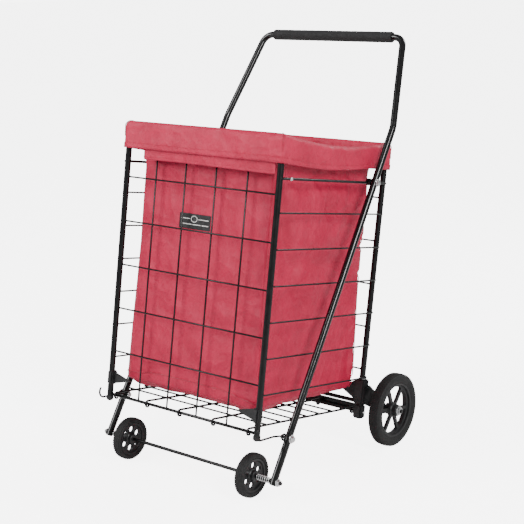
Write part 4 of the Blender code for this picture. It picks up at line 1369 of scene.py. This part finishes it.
low, high = row_at(1, 0.0012), row_at(2, 0.0011)
hem = [row_at(0, 0.0012), low, [a.lerp(b, 0.35) for a, b in zip(low, high)]]
hem_mesh = thickened("hem", grid_mesh("hem", hem, 0.012, 0.01, True), 0.0011)
hem_piece = cloth_piece("collar_hem", hem_mesh, red_cloth)
seams = []
for corner in CORNERS:
    n = int(corner) % COLUMNS
    seams.append(tube("seam", [lifted(k, n, 0.0010) for k in range(FIRST_BAG + 1, LAST_BAG + 1)], SEAM_R, 8))
    seams.append(tube("seam", [lifted(k, n, 0.0012) for k in range(3, FIRST_BAG - 1)], 0.0009, 8))
around = row_at(LAST_BAG - 2, 0.0010)
seams.append(tube("seam", [*around, around[0]], SEAM_R, 8))
seam_piece = cloth_piece("corner_seams", joined("seams", seams), seam_cloth)
print(len(seams), "seams")


# %% [markdown]
# Every line of sewing is one short thread, copied along the cloth. The points are
# stepped off along a ring, and each thread is turned to lie along the line with
# its back to the cloth.


# %% Stitches
def stitched(path, away, pitch=0.0042, closed=True):
    """Places for stitches along a path, each lying on the cloth."""
    places = []
    spots = path + path[:1] if closed else path
    left = 0.0
    for n, (a, b) in enumerate(zip(spots, spots[1:])):
        way = b - a
        along = way.normalized()
        side = away[n % len(away)].cross(along).normalized()
        turn = Matrix((along, side, along.cross(side))).transposed()
        while left < way.length:
            places.append((a + along * left, turn))
            left += pitch
        left -= way.length
    return places


def sewing(name, places):
    thread = ball(0.00034, (4.2, 1, 1), 1)
    return cloth_piece(name, copied("stitches", thread, places, red_thread), red_thread)


places = []
for k, share in ((1, 0.30), (0, 0.35)):
    line = [a.lerp(b, share) for a, b in zip(row_at(k, 0.0019), row_at(k + 1, 0.0019))]
    places += stitched(line, [outward(k, n, shaped) for n in range(COLUMNS)])
for k in (LAST_BAG - 4, LAST_BAG - 5):
    places += stitched(row_at(k, 0.0007), [outward(k, n, shaped) for n in range(COLUMNS)])
stitch_piece = sewing("liner_stitches", places)
print(len(places), "stitches")


# %% [markdown]
# A plain band hangs below the collar at the front. It is a small sheet of its own,
# made from a formula: flat, with two slow waves in it.


# %% Front band
BAND_LEFT, BAND_FOOT, BAND_SIZE = -0.166, 0.4925, (0.376, 0.048)


def panel(name, columns, rows, place, size):
    """A flat panel of this size, with each point given by its shares of it."""
    points = [[place(i / columns, j / rows) for i in range(columns + 1)] for j in range(rows + 1)]
    return grid_mesh(name, points, size[0] / columns, size[1] / rows)


def band_point(s, t):
    x, w = BAND_LEFT + BAND_SIZE[0] * s, BAND_FOOT + BAND_SIZE[1] * t + 0.0012 * sin(s * 5)
    wave = 0.0011 * drift(x * 26, w * 6, 4) + 0.0009 * drift(x * 70, w * 12, 9)
    return Vector((x, -0.0052 + wave - 0.0016 * t, w))


band_mesh = thickened("band", panel("band", 72, 8, band_point, BAND_SIZE), 0.0010)
band_piece = cloth_piece("front_band", band_mesh, red_cloth)
path = [band_point(n / 60, 0.14) + Vector((0, -0.0008, 0)) for n in range(61)]
places = stitched(path, [Vector((0, -1, 0))], closed=False)
band_stitches = sewing("band_stitches", places)
print(f"band {BAND_SIZE[0]:.3f} x {BAND_SIZE[1]:.3f} m with {len(places)} stitches")


# %% [markdown]
# A small black patch is sewn to the bag's front. It lies on a crumpled surface, so
# each of its points is found by a ray that meets the hung cloth, and it follows
# the folds. Its print is plain: an oval ring and dashes where there would be
# lettering.


# %% Patch
PATCH_X, PATCH_W, PATCH_SIZE = (-0.066, 0.025), (0.3495, 0.3835), (0.093, 0.035)
DASHES = ((0.06, 0.34, 0.66), (0.62, 0.94, 0.66), (0.06, 0.40, 0.30), (0.44, 0.70, 0.30), (0.74, 0.94, 0.30))
hung_cloth = BVHTree.FromPolygons(shaped, faces)


def patch_point(s, t, lift=0.0010):
    """A point of the patch, found by looking back at the bag from its front."""
    x, w = PATCH_X[0] + (PATCH_X[1] - PATCH_X[0]) * s, PATCH_W[0] + (PATCH_W[1] - PATCH_W[0]) * t
    hit = hung_cloth.ray_cast(Vector((x, 0.004, w)), Vector((0, 1, 0)))[0]
    return Vector((x, (hit.y if hit else 0.012) - lift, w))


patch_mesh = thickened("patch", panel("patch", 28, 14, patch_point, PATCH_SIZE), 0.0007, 0)
patch_piece = cloth_piece("bag_patch", patch_mesh, patch_cloth)
marks = []
for first, last, level in DASHES:
    path = [patch_point(first + (last - first) * n / 8, level, 0.0016) for n in range(9)]
    marks.append(tube("mark", path, 0.0011, 8))
turns = [radians(15 * n) for n in range(25)]
oval = [patch_point(0.48 + 0.095 * cos(turn), 0.66 + 0.20 * sin(turn), 0.0016) for turn in turns]
marks.append(tube("mark", oval, 0.0008, 8))
mark_piece = cloth_piece("patch_marks", joined("marks", marks), patch_print)
print("patch with", len(marks), "printed marks")


# %% [markdown]


print("three sheets")


# %% [markdown]
# ## Floor, light and camera
# A pale paper floor, far wider than the view, leaves no horizon to look at.


# %% Floor
bm = bmesh.new()
bmesh.ops.create_grid(bm, x_segments=1, y_segments=1, size=40)
floor = bpy.data.objects.new("studio_floor", mesh_of("floor", bm))
bpy.context.scene.collection.objects.link(floor)
paper, tree, skin, where = material("pale_paper")
share = noise_at(tree, where.outputs["Object"], 3)
link(tree, skin, Base_Color=tint(tree, share, (0.90, 0.90, 0.90), (0.93, 0.93, 0.93)))
skin.inputs["Roughness"].default_value = 0.9
floor.data.materials.append(paper)
print("floor ready")


# %% [markdown]
# Three soft area lights do the work: a large key from the front left, a fill from
# the right, and a rim from behind that draws the tubes' edges. A white background
# would normally flood the black paint with reflections. So the surroundings look
# bright to the lens, but light the object only a little.


# %% Lights
def lamp(name, spot, aim, size, power):
    """A soft rectangular light that faces a point."""
    data = bpy.data.lights.new(name, "AREA")
    data.shape, data.size, data.size_y, data.energy = "RECTANGLE", size[0], size[1], power
    made = bpy.data.objects.new(name, data)
    made.location = spot
    made.rotation_euler = (Vector(aim) - Vector(spot)).to_track_quat("-Z", "Y").to_euler()
    bpy.context.scene.collection.objects.link(made)
    return made


key = lamp("key_light", (-1.5, -2.6, 2.5), (0, 0, 0.45), (1.7, 1.7), 112)
fill = lamp("fill_light", (2.7, -1.0, 2.2), (0, 0, 0.45), (0.8, 1.2), 88)
rim = lamp("rim_light", (0.8, 2.4, 2.3), (0, 0, 0.6), (1.2, 0.8), 40)


def seen_or_lit(tree, surface, seen, lit):
    """A surface that looks brighter to the lens than the light that it gives."""
    path = node(tree, "ShaderNodeLightPath").outputs["Is Camera Ray"]
    mixed = node(tree, "ShaderNodeMix", {"Factor": path, "A": lit, "B": seen}, data_type="FLOAT")
    tree.links.new(mixed.outputs["Result"], surface)


world = bpy.data.worlds.new("studio")
world.use_nodes = True
sky = world.node_tree.nodes["Background"]
sky.inputs["Color"].default_value = (1, 1, 1, 1)
seen_or_lit(world.node_tree, sky.inputs["Strength"], 6.0, 0.34)
bpy.context.scene.world = world
skin.inputs["Emission Color"].default_value = (1, 1, 1, 1)
seen_or_lit(tree, skin.inputs["Emission Strength"], 5.4, 0.0)
print("three lights")


# %% [markdown]
# A long lens keeps the posts nearly parallel. The camera's place and turn are
# written in the basket's frame, where they come out simple, and BASKET carries
# them to the floor's.


# %% Camera
data = bpy.data.cameras.new("camera")
data.sensor_width, data.lens, data.shift_x = 36, 84.8, 0.0147
camera = bpy.data.objects.new("camera", data)
right, behind = Vector((0.7795, 0.6203, 0.0872)), Vector((0.6127, -0.7839, 0.1004))
turn = Matrix((right, behind.cross(right), behind)).transposed().to_4x4()
camera.matrix_world = BASKET @ Matrix.Translation((1.7731, -2.0485, 0.5646)) @ turn
bpy.context.scene.collection.objects.link(camera)
bpy.context.scene.camera = camera
print(f"camera {camera.matrix_world.translation.length:.2f} m away, {data.lens} mm lens")
